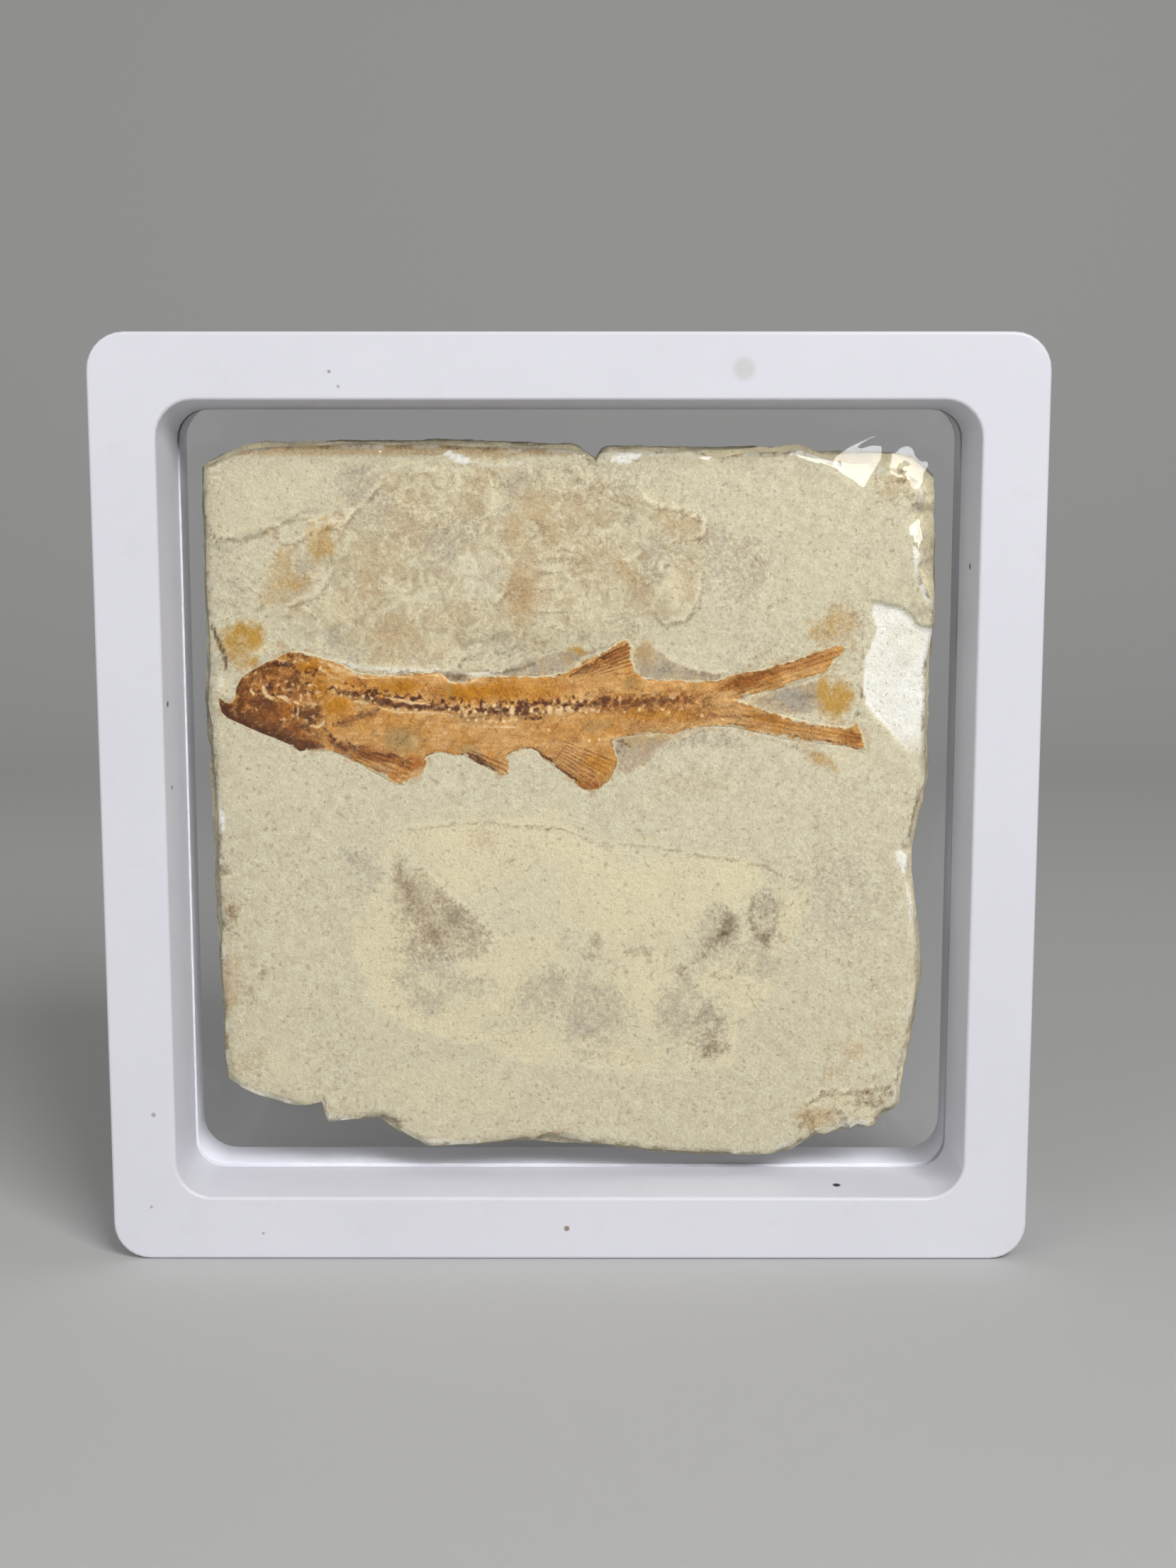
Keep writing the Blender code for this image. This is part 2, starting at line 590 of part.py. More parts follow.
def add_ribs(bm):
    """Ribs lean back from the backbone to the belly, and spines rise behind them."""
    for i in range(RIB_COUNT):
        x = -26.0 + 1.55 * i
        z = on_curve(BACKBONE, x) - 0.5
        add_ridge(bm, (x, z), (x + 1.6, z - 3.6 + 0.05 * i), 0.34 * MM, BONE_TOP + 0.1 * MM)
    for i in range(RIB_COUNT):
        x = 0.5 + 1.35 * i
        z = on_curve(BACKBONE, x)
        add_ridge(bm, (x, z - 0.4), (x + 1.3, z - 2.5), 0.3 * MM, BONE_TOP + 0.1 * MM)
        add_ridge(bm, (x, z + 0.4), (x + 1.3, z + 1.8), 0.3 * MM, BONE_TOP + 0.1 * MM)


def add_fin_rays(bm):
    """Each fin's rays fan out from its base to its tip."""
    for fin, base_start, base_end, tip_start, tip_end, rays in FINS:
        for i in range(rays):
            share = i / (rays - 1)
            base = Vector(base_start).lerp(Vector(base_end), share)
            tip = Vector(tip_start).lerp(Vector(tip_end), share)
            add_ridge(bm, base, tip, 0.42 * MM, BONE_TOP + 0.05 * MM)


def add_skull(bm):
    """Gill cover, cheek, brow, snout and the long dark lower jaw."""
    add_plate(bm, oval((-31.6, 11.4), 5.6, 8.4, 12, 12), BONE_TOP, 0.62)
    add_plate(bm, oval((-35.4, 9.8), 4.6, 3.0, 8, -24), BONE_TOP + 0.05 * MM, 0.6)
    add_plate(bm, oval((-36.9, 13.1), 2.3, 2.3, 10), BONE_TOP, 0.5)
    brow = [(-39.4, 13.6), (-38.2, 15.2), (-35.6, 16.2), (-32.4, 17.0), (-29.6, 16.6)]
    for start, end in zip(brow, brow[1:]):
        add_ridge(bm, start, end, 0.9 * MM)
    jaw = [(-40.6, 10.6), (-37.6, 9.0), (-34.4, 7.6), (-31.2, 6.9), (-28.4, 6.8)]
    for start, end in zip(jaw, jaw[1:]):
        add_ridge(bm, start, end, 0.8 * MM)


def build_fish(parent, material):
    """The fish: one low relief of bones, trimmed to its outline."""
    bm = bmesh.new()
    add_prism(bm, to_metres(FISH_OUTLINE), FISH_BACK - 1.5 * MM, FISH_BACK)
    fish = make_object("fish", bm, parent, material)

    bm = bmesh.new()
    add_box(bm, (-44 * MM, FISH_FACE, -2 * MM), (38 * MM, FISH_BACK + 0.2 * MM, 22 * MM))
    ground = make_guide("bone_ground", bm, parent)

    bones = bmesh.new()
    add_trunk(bones)
    add_skull(bones)
    add_vertebrae(bones)
    add_ribs(bones)
    add_fin_rays(bones)
    combine(ground, make_guide("bones", bones, parent), 'UNION', self_overlap=True)
    combine(fish, ground, 'INTERSECT')
    return fish


def build():
    """Stand the whole display on Z = 0, with its hinge included in its width."""
    clear_scene()
    white = make_material("white_plastic", (0.74, 0.74, 0.78), 0.32)
    film = make_material("clear_film", (0.95, 0.96, 0.96), 0.08, transmission=1.0)
    shale = make_material("pale_shale", (0.55, 0.50, 0.37), 0.88)
    bone = make_material("fossil_bone", (0.46, 0.19, 0.05), 0.62)

    display = bpy.data.objects.new("display", None)
    bpy.context.scene.collection.objects.link(display)
    display.location = (HINGE_REACH / 2, 0.0, FRAME_SIZE / 2)
    hinge = bpy.data.objects.new("hinge_axis", None)
    bpy.context.scene.collection.objects.link(hinge)
    hinge.parent = display
    hinge.location = (HINGE_X, 0.0, 0.0)

    front = build_half("front_frame", -1, hinge, -HINGE_X, white)
    rear = build_half("back_frame", 1, display, 0.0, white)
    add_hinges(front, rear, -HINGE_X, hinge, display)
    add_tongues(front, -HINGE_X, hinge)
    add_scoop(front, "front_scoop", -HINGE_X, hinge)
    add_scoop(rear, "rear_scoop", 0.0, display)
    build_film("front_film", -1, -BONE_TOP + FIT_GAP, hinge, -HINGE_X, film)
    build_film("back_film", 1, SLAB_THICKNESS / 2 + FIT_GAP, display, 0.0, film)
    build_slab(display, shale)
    build_fish(display, bone)


build()
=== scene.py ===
# %% [markdown]
# # A fossil fish slab in a film frame
#
# The real object is a thin slab of pale shale with the orange-brown bones of one fish. Two
# clear elastic films hold it in the middle of a white plastic frame, so that it seems to
# float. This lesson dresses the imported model: the frame halves get a moulded plastic finish,
# the films are stretched over the stone, and the slab and the fish are modelled again with
# their real surface. Every length is in metres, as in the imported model.

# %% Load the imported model
import json
import math

import bpy
import numpy as np
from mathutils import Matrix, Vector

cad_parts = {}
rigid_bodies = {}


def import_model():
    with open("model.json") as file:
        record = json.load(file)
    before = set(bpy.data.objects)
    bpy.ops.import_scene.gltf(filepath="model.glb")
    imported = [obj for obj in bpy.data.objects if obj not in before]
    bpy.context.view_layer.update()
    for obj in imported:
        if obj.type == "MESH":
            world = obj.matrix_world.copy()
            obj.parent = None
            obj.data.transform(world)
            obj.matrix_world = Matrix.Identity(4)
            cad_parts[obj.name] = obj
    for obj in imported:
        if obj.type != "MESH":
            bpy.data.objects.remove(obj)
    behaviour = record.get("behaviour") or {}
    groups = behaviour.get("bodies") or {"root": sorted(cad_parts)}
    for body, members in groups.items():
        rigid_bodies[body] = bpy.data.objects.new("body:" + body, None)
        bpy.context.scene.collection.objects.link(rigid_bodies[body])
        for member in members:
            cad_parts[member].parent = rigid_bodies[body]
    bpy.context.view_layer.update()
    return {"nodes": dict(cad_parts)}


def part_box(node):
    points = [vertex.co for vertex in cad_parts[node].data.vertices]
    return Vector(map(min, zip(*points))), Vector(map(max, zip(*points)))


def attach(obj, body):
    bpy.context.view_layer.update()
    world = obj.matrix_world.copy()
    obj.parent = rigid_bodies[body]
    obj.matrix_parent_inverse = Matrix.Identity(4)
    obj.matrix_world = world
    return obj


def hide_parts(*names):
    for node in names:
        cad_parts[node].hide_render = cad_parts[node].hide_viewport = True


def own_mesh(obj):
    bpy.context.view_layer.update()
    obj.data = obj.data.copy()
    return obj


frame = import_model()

# %% [markdown]
# The drawing of the slab and the fish was made about the middle of the frame, in millimetres:
# to the right, then up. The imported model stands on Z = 0 and is centred with its hinge
# knuckles, so one named place turns a drawing point into a point of the model. It is worked
# out from the rear frame half's box, whose right side and foot are the frame's own. Two
# helpers follow, one to select pieces and one to count their triangles.

# %% The frame's middle
MM = 0.001
FRAME_SIZE = 110.0 * MM
rear_low, rear_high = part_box("back_frame")
MIDDLE_X = rear_high[0] - FRAME_SIZE / 2
MIDDLE_Z = (rear_low[2] + rear_high[2]) / 2
print("middle of the frame at x = %.2f mm, z = %.2f mm" % (MIDDLE_X / MM, MIDDLE_Z / MM))


def only(*chosen):
    """Deselect everything, then select and activate the chosen objects."""
    for other in bpy.context.view_layer.objects:
        other.select_set(False)
    for piece in chosen:
        piece.select_set(True)
    bpy.context.view_layer.objects.active = chosen[0]


def count(piece):
    """Say how many triangles a finished piece has."""
    piece.data.calc_loop_triangles()
    print(piece.name, "has", len(piece.data.loop_triangles), "triangles")


# %% [markdown]
# The photograph was taken from a little above the middle of the frame, a quarter of a metre
# away, looking down by eight and a half degrees. These values come from a perspective fit to
# the frame's straight edges, so the edges of the model fall on those of the real one.

# %% Camera
CAMERA_FROM_MIDDLE = (2.69 * MM, -263.73 * MM, 40.94 * MM)
CAMERA_DOWN = 8.49
CAMERA_LEFT = 0.11
FOCAL_PIXELS = 3096.0
PHOTO_HEIGHT = 2212.0
SENSOR = 36.0
CAMERA_NEAR = 0.01
only(frame["nodes"]["slab"])
bpy.ops.object.camera_add(
    location=(MIDDLE_X + CAMERA_FROM_MIDDLE[0], CAMERA_FROM_MIDDLE[1],
              MIDDLE_Z + CAMERA_FROM_MIDDLE[2]),
    rotation=(math.radians(90 - CAMERA_DOWN), 0, math.radians(CAMERA_LEFT)))
camera = bpy.context.object
camera.data.sensor_width = SENSOR
camera.data.lens = FOCAL_PIXELS / PHOTO_HEIGHT * SENSOR
camera.data.clip_start = CAMERA_NEAR
bpy.context.scene.camera = camera
print("lens %.1f mm" % camera.data.lens)

# %% [markdown]
# The floor is one plain pale sheet that sweeps up behind the object, as in a product studio,
# so no horizon line cuts through the clear window. It is a plane whose rear edge is extruded
# upwards and whose fold is bevelled.

# %% Floor
FLOOR_SIZE = 2.4
FLOOR_BEHIND = 0.75
WALL_HEIGHT = 1.4
SWEEP_RADIUS = 0.35
bpy.ops.mesh.primitive_plane_add(size=FLOOR_SIZE,
                                 location=(0, FLOOR_BEHIND - FLOOR_SIZE / 2, 0))
floor = bpy.context.object
floor.name = "floor"
bpy.ops.object.mode_set(mode='EDIT')
bpy.ops.mesh.select_mode(type='EDGE')
bpy.ops.mesh.select_all(action='DESELECT')
bpy.ops.object.mode_set(mode='OBJECT')
for edge in floor.data.edges:
    ends = [floor.data.vertices[i].co.y for i in edge.vertices]
    edge.select = min(ends) > FLOOR_SIZE / 2 - MM
bpy.ops.object.mode_set(mode='EDIT')
bpy.ops.mesh.extrude_region_move(TRANSFORM_OT_translate={"value": (0, 0, WALL_HEIGHT)})
bpy.ops.object.mode_set(mode='OBJECT')
for edge in floor.data.edges:
    ends = [floor.data.vertices[i].co for i in edge.vertices]
    edge.select = all(p.y > FLOOR_SIZE / 2 - MM and abs(p.z) < MM for p in ends)
bpy.ops.object.mode_set(mode='EDIT')
bpy.ops.mesh.bevel(offset=SWEEP_RADIUS, segments=24)
bpy.ops.object.mode_set(mode='OBJECT')
bpy.ops.object.shade_smooth()
count(floor)

# %% [markdown]
# A material is a small tree of nodes. The first helper adds a node, sets its plain values and
# links its inputs, so that each finish below reads as a short recipe. Another starts a new
# material, and the floor gets the first one.

# %% Node helper
def add_node(tree, kind, settings=(), **inputs):
    """Add one shader node; inputs are values or sockets of other nodes."""
    made = tree.nodes.new("ShaderNode" + kind)
    for name, value in dict(settings).items():
        setattr(made, name, value)
    for name, value in inputs.items():
        socket = find_socket(made, name)
        if isinstance(value, bpy.types.NodeSocket):
            tree.links.new(value, socket)
        else:
            socket.default_value = value
    return made


def find_socket(made, name):
    """The input called name, with _ for a space, or input number N for inN."""
    if name.startswith("in") and name[2:].isdigit():
        return made.inputs[int(name[2:])]
    wanted = name.replace("_", " ")
    choices = [s for s in made.inputs if s.name == wanted and s.enabled]
    return choices[0]


def new_material(name, roughness, **values):
    """An empty Principled material and its shader node."""
    material = bpy.data.materials.new(name)
    material.use_nodes = True
    shader = material.node_tree.nodes["Principled BSDF"]
    shader.inputs["Roughness"].default_value = roughness
    for socket, value in values.items():
        shader.inputs[socket.replace("_", " ")].default_value = value
    return material, material.node_tree, shader


floor_finish, tree, shader = new_material("pale_floor", 0.8)
shader.inputs["Base Color"].default_value = (0.54, 0.54, 0.53, 1)
floor.data.materials.append(floor_finish)
print("the floor wears", floor_finish.name)

# %% [markdown]
# Six shorthands cover what the recipes use most: noise with lumps of a given size, a Math
# node, one colour laid over another, a value stretched to a new range, a surface colour whose
# brightness varies, and a fine bump.

# %% Node shorthands
def grain(tree, place, size, detail=3.0, roughness=0.6, distortion=0.0):
    """Noise whose lumps are about size metres wide."""
    made = add_node(tree, "TexNoise", Vector=place, Scale=1 / size, Detail=detail,
                    Roughness=roughness, Distortion=distortion)
    return made.outputs["Fac"]


def math_node(tree, operation, first, second=0.0, third=0.0, clamp=False):
    """A Math node's result."""
    made = add_node(tree, "Math", {"operation": operation, "use_clamp": clamp},
                    in0=first, in1=second, in2=third)
    return made.outputs[0]


def mix_colour(tree, share, first, second):
    """The second colour laid over the first; share says how much of it shows."""
    made = add_node(tree, "Mix", {"data_type": 'RGBA'}, in0=share, in6=first, in7=second)
    return made.outputs[2]


def stretch(tree, value, low, high, new_low=0.0, new_high=1.0):
    """A value between low and high, stretched to lie between new_low and new_high."""
    made = add_node(tree, "MapRange", in0=value, in1=low, in2=high, in3=new_low, in4=new_high)
    return made.outputs[0]


def tint(tree, shader, colour, first_tone, second_tone):
    """Give the shader this colour, made lighter or darker by two tones."""
    tone = math_node(tree, 'MULTIPLY', first_tone, second_tone)
    scale = add_node(tree, "VectorMath", {"operation": 'SCALE'}, in0=colour, in3=tone)
    tree.links.new(scale.outputs[0], shader.inputs["Base Color"])


def roughen(tree, shader, height, strength, depth):
    """Give the shader a bump of that strength, with depth in metres."""
    bump = add_node(tree, "Bump", Strength=strength, Distance=depth, Height=height)
    tree.links.new(bump.outputs[0], shader.inputs["Normal"])


# %% [markdown]
# One large soft lamp above and to the right is the main light, as its glints in the film's
# upper right corner show. A weaker one fills from the left, and the sky gives the rest.

# %% Lights
def soft_lamp(name, place, size, power, aim):
    """A square soft lamp that looks at a point."""
    bpy.ops.object.light_add(type='AREA', location=place)
    lamp = bpy.context.object
    lamp.name = name
    lamp.data.size = size
    lamp.data.energy = power
    away = np.array(place) - np.array(aim)
    turn = math.atan2(away[0], -away[1])
    lift = math.atan2(math.hypot(away[0], away[1]), away[2])
    lamp.rotation_euler = (lift, 0, turn)


CENTRE = (MIDDLE_X, 0.0, MIDDLE_Z)
SKY_STRENGTH = 0.24
soft_lamp("key_lamp", (0.30, -0.60, 0.55), 0.34, 4.6, CENTRE)
soft_lamp("fill_lamp", (-0.55, -0.60, 0.40), 0.60, 1.7, CENTRE)
world = bpy.data.worlds.new("studio")
bpy.context.scene.world = world
world.use_nodes = True
sky = world.node_tree.nodes["Background"]
sky.inputs["Color"].default_value = (1.0, 1.0, 1.0, 1)
sky.inputs["Strength"].default_value = SKY_STRENGTH
bpy.context.scene.view_settings.view_transform = 'Standard'
print("two lamps and a sky of strength", SKY_STRENGTH)

# %% [markdown]
# The two frame halves are hard white plastic from a mould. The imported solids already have
# the right shape, so each half is a copy of its solid: its loose triangles are merged, flat
# areas are dissolved into whole faces, and the sharp seam edges get the small round that a
# mould leaves. Weighted normals keep the flat faces flat beside the rounds.

# %% Frame halves
SEAM_ROUND = 0.12 * MM
MERGE_GAP = 0.001 * MM
FLAT_ANGLE = 0.5
SEAM_ANGLE = 60
SMOOTH_ANGLE = 50


def refined_copy(node, name, body):
    """A clean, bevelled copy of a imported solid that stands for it."""
    piece = bpy.data.objects.new(name, frame["nodes"][node].data.copy())
    bpy.context.scene.collection.objects.link(piece)
    piece.data.materials.clear()
    only(piece)
    bpy.ops.object.mode_set(mode='EDIT')
    bpy.ops.mesh.select_all(action='SELECT')
    bpy.ops.mesh.remove_doubles(threshold=MERGE_GAP)
    bpy.ops.mesh.dissolve_limited(angle_limit=math.radians(FLAT_ANGLE))
    bpy.ops.object.mode_set(mode='OBJECT')
    bevel = piece.modifiers.new("seam_round", 'BEVEL')
    bevel.width = SEAM_ROUND
    bevel.segments = 2
    bevel.limit_method = 'ANGLE'
    bevel.angle_limit = math.radians(SEAM_ANGLE)
    bpy.ops.object.modifier_apply(modifier=bevel.name)
    bpy.ops.object.shade_smooth_by_angle(angle=math.radians(SMOOTH_ANGLE))
    weights = piece.modifiers.new("flat_faces", 'WEIGHTED_NORMAL')
    weights.keep_sharp = True
    bpy.ops.object.modifier_apply(modifier=weights.name)
    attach(piece, body)
    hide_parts(node)
    count(piece)
    return piece


front_frame = refined_copy("front_frame", "front_frame_half", "front_half")
back_frame = refined_copy("back_frame", "back_frame_half", "back_half")

# %% [markdown]
# The plastic is cool white and half glossy. Clouds of noise vary its tone and its gloss, as
# handling does, a fine bump gives the faint orange peel of a moulded face, and the few specks
# of dirt that the real frame carries are small balls of colour at their own places: a place
# nearer to a speck's middle than its radius takes the speck's colour.

# %% White plastic
SPECKS = [
    # right, out and up from the middle in mm, radius in mm, colour
    (-0.36, 10.0, -51.11, 0.42, (0.30, 0.24, 0.17, 1)),
    (-49.77, 10.0, -36.98, 0.34, (0.42, 0.41, 0.42, 1)),
    (-50.37, 10.0, -48.45, 0.24, (0.46, 0.44, 0.44, 1)),
    (-36.95, 10.0, -51.74, 0.22, (0.45, 0.44, 0.45, 1)),
    (-27.26, 10.0, 50.49, 0.26, (0.40, 0.39, 0.40, 1)),
    (-26.24, 10.0, 48.82, 0.22, (0.44, 0.43, 0.44, 1)),
    (19.97, 10.0, 50.78, 1.60, (0.66, 0.65, 0.66, 1)),
    (32.50, 6.2, -46.95, 0.60, (0.02, 0.02, 0.02, 1)),
    (46.70, 5.8, 28.20, 0.55, (0.05, 0.05, 0.05, 1)),
    (-47.00, 7.9, 12.20, 0.45, (0.06, 0.06, 0.07, 1)),
    (-46.90, 7.1, 2.20, 0.35, (0.08, 0.08, 0.09, 1))]
SPECK_CORE = 0.55
plastic, tree, shader = new_material("white_plastic", 0.38)
place = add_node(tree, "TexCoord").outputs["Object"]
mottle = grain(tree, place, 1 / 60, 3.0, 0.5)
handled = grain(tree, place, 1 / 190, 5.0, 0.65)
peel = grain(tree, place, 1 / 900, 2.0, 0.5)
colour = mix_colour(tree, mottle, (0.728, 0.724, 0.788, 1), (0.788, 0.784, 0.850, 1))
soil = stretch(tree, handled, 0.58, 0.80, 0.0, 0.16)
colour = mix_colour(tree, soil, colour, (0.52, 0.51, 0.54, 1))
for right, out, up, radius, speck in SPECKS:
    middle = (MIDDLE_X + right * MM, -out * MM, MIDDLE_Z + up * MM)
    gap = add_node(tree, "VectorMath", {"operation": 'DISTANCE'}, in0=place, in1=middle)
    cover = stretch(tree, gap.outputs["Value"], radius * MM, SPECK_CORE * radius * MM)
    colour = mix_colour(tree, cover, colour, speck)
tree.links.new(colour, shader.inputs["Base Color"])
gloss = stretch(tree, handled, 0.3, 0.7, 0.32, 0.46)
tree.links.new(gloss, shader.inputs["Roughness"])
roughen(tree, shader, peel, 0.25, 0.00002)
for half in (front_frame, back_frame):
    half.data.materials.append(plastic)
print("the plastic has", len(tree.nodes), "nodes")

# %% [markdown]
# Stone, bone and film are drawn on one flat plan: millimetres to the right and up from the
# frame's middle. The helpers below answer one question for many places at once: how strongly
# is this place covered by a cloud, a brush stroke, a spot or a zone? The same answers shape
# the surface and tint it, so colour and relief always agree.

# %% Plan helpers
TABLE_SIZE = 256
OCTAVE_SHARE = 0.55
STROKE_TAPER = 0.6
FAR = 1e6


def ramp(value, start, end):
    """An S-curve from 0 at start to 1 at end."""
    share = np.clip((value - start) / (end - start), 0.0, 1.0)
    return share * share * (3.0 - 2.0 * share)


def cloud(x, z, lump, seed, octaves=4):
    """Soft seeded noise from about -1 to 1; lump is the width of its largest lumps in mm."""
    total = np.zeros(np.shape(x))
    share = 1.0
    for octave in range(octaves):
        chance = np.random.default_rng(1000 * seed + octave)
        table = chance.uniform(-1, 1, (TABLE_SIZE, TABLE_SIZE))
        u = np.asarray(x) / lump * 2 ** octave + TABLE_SIZE / 2
        v = np.asarray(z) / lump * 2 ** octave + TABLE_SIZE / 2
        i = np.floor(u).astype(int)
        j = np.floor(v).astype(int)
        a = ramp(u - i, 0, 1)
        b = ramp(v - j, 0, 1)
        left = i % TABLE_SIZE
        right = (i + 1) % TABLE_SIZE
        low = j % TABLE_SIZE
        high = (j + 1) % TABLE_SIZE
        near = table[left, low] * (1 - a) + table[right, low] * a
        far = table[left, high] * (1 - a) + table[right, high] * a
        total += share * (near * (1 - b) + far * b)
        share *= OCTAVE_SHARE
    return total


def line_distance(x, z, points):
    """How far each place is from a broken line, and where along it that is, from 0 to 1."""
    best = np.full(np.shape(x), FAR)
    along = np.zeros(np.shape(x))
    steps = [math.dist(a, b) for a, b in zip(points, points[1:])]
    walked = 0.0
    for (x0, z0), (x1, z1), step in zip(points, points[1:], steps):
        share = ((x - x0) * (x1 - x0) + (z - z0) * (z1 - z0)) / step ** 2
        share = np.clip(share, 0, 1)
        gap = np.hypot(x - x0 - share * (x1 - x0), z - z0 - share * (z1 - z0))
        nearer = gap < best
        best = np.where(nearer, gap, best)
        along = np.where(nearer, (walked + share * step) / sum(steps), along)
        walked += step
    return best, along


def depth_inside(x, z, outline):
    """Distance to a closed outline: above 0 inside it and below 0 outside."""
    ring = list(outline) + [outline[0]]
    gap, _ = line_distance(x, z, ring)
    inside = np.zeros(np.shape(x), bool)
    for (x0, z0), (x1, z1) in zip(ring, ring[1:]):
        if z0 != z1:
            crossing = x0 + (z - z0) * (x1 - x0) / (z1 - z0)
            inside ^= ((z0 > z) != (z1 > z)) & (x < crossing)
    return np.where(inside, gap, -gap)


def strokes(x, z, marks, soft=0.6, fray=None):
    """Brush strokes that thin out at their ends: a list of (width, strength, points)."""
    cover = np.zeros(np.shape(x))
    fray = np.zeros(np.shape(x)) if fray is None else fray
    for width, strength, points in marks:
        low = np.min(points, axis=0) - width
        high = np.max(points, axis=0) + width
        near = (x > low[0]) & (x < high[0]) & (z > low[1]) & (z < high[1])
        gap, along = line_distance(x[near], z[near], points)
        half = width / 2 * (1 - STROKE_TAPER * np.abs(2 * along - 1) ** 3 + fray[near])
        value = strength * ramp(gap, half * (1 + soft), half * (1 - soft))
        cover[near] = np.maximum(cover[near], value)
    return cover


def spots(x, z, marks, soft=0.5, fray=None):
    """Oval spots: a list of (x, z, width, height, tilt in degrees, strength)."""
    cover = np.zeros(np.shape(x))
    fray = np.zeros(np.shape(x)) if fray is None else fray
    for cx, cz, width, height, tilt, strength in marks:
        lean = math.radians(tilt)
        reach = max(width, height)
        near = (np.abs(x - cx) < reach) & (np.abs(z - cz) < reach)
        dx = x[near] - cx
        dz = z[near] - cz
        along = dx * math.cos(lean) + dz * math.sin(lean)
        across = dz * math.cos(lean) - dx * math.sin(lean)
        spread = np.hypot(along / (width / 2), across / (height / 2)) + fray[near]
        value = strength * ramp(spread, 1 + soft, 1 - soft)
        cover[near] = np.maximum(cover[near], value)
    return cover


def dots(size, strength, places):
    """Round spots of one size at a list of places."""
    return [(x, z, size, size, 0, strength) for x, z in places]


def zone(x, z, outline, soft=0.5):
    """1 inside an outline, 0 outside, with an edge of that softness in mm."""
    return ramp(depth_inside(x, z, outline), -soft, soft)


def wander(x, z, reach, lump, seed):
    """Shift places by a small cloud, so that marks drawn there get a natural edge."""
    return x + reach * cloud(x, z, lump, seed, 3), z + reach * cloud(x, z, lump, seed + 1, 3)


def strongest(*covers):
    """Where several covers overlap, the strongest one counts."""
    total = covers[0]
    for cover in covers[1:]:
        total = np.maximum(total, cover)
    return total


# %% [markdown]
# A mesh is sculpted by reading all its points into arrays, moving them, and writing them
# back. Painted marks are stored beside the points as named attributes, which the material
# reads again.

# %% Mesh helpers
def raw_points(piece):
    """A piece's points as rows of x, y and z."""
    flat = np.empty(3 * len(piece.data.vertices))
    piece.data.vertices.foreach_get("co", flat)
    return flat.reshape(-1, 3)


def read_points(piece):
    """A piece's points on the plan: x and z in mm, and how far in front of the middle plane."""
    points = raw_points(piece) / MM
    return points[:, 0] - MIDDLE_X / MM, points[:, 2] - MIDDLE_Z / MM, -points[:, 1]


def write_points(piece, x, z, out):
    """Put a piece's points at these plan places."""
    points = np.stack([x * MM + MIDDLE_X, -out * MM, z * MM + MIDDLE_Z], axis=1)
    piece.data.vertices.foreach_set("co", points.ravel())
    piece.data.update()


def store(piece, name, values):
    """Keep one number per point under a name."""
    kept = piece.data.attributes.new(name, 'FLOAT', 'POINT')
    kept.data.foreach_set("value", np.clip(values, 0, 1).astype(np.float32))


def flat_grid(name, columns, rows):
    """A grid of unit size with that many cells, lying on its back."""
    for other in bpy.context.view_layer.objects:
        other.select_set(False)
    bpy.ops.mesh.primitive_grid_add(x_subdivisions=columns, y_subdivisions=rows, size=1)
    piece = bpy.context.object
    piece.name = name
    return piece


def grid_shares(piece):
    """For each point of a fresh unit grid, how far right and up it is, from 0 to 1."""
    points = raw_points(piece)
    return points[:, 0] + 0.5, points[:, 1] + 0.5


# %% [markdown]
# The slab is a thin plate split from soft laminated shale, so its face is nearly flat while
# its edges are broken. Two outlines describe it: the bed that shows the fish, and the wider
# core behind it, which shows where the face is chipped back. Both were read off the
# photograph against the frame, in millimetres. Four of the face's points are its corners.
# The face and the back lie 3 mm in front of and behind the frame's middle plane.

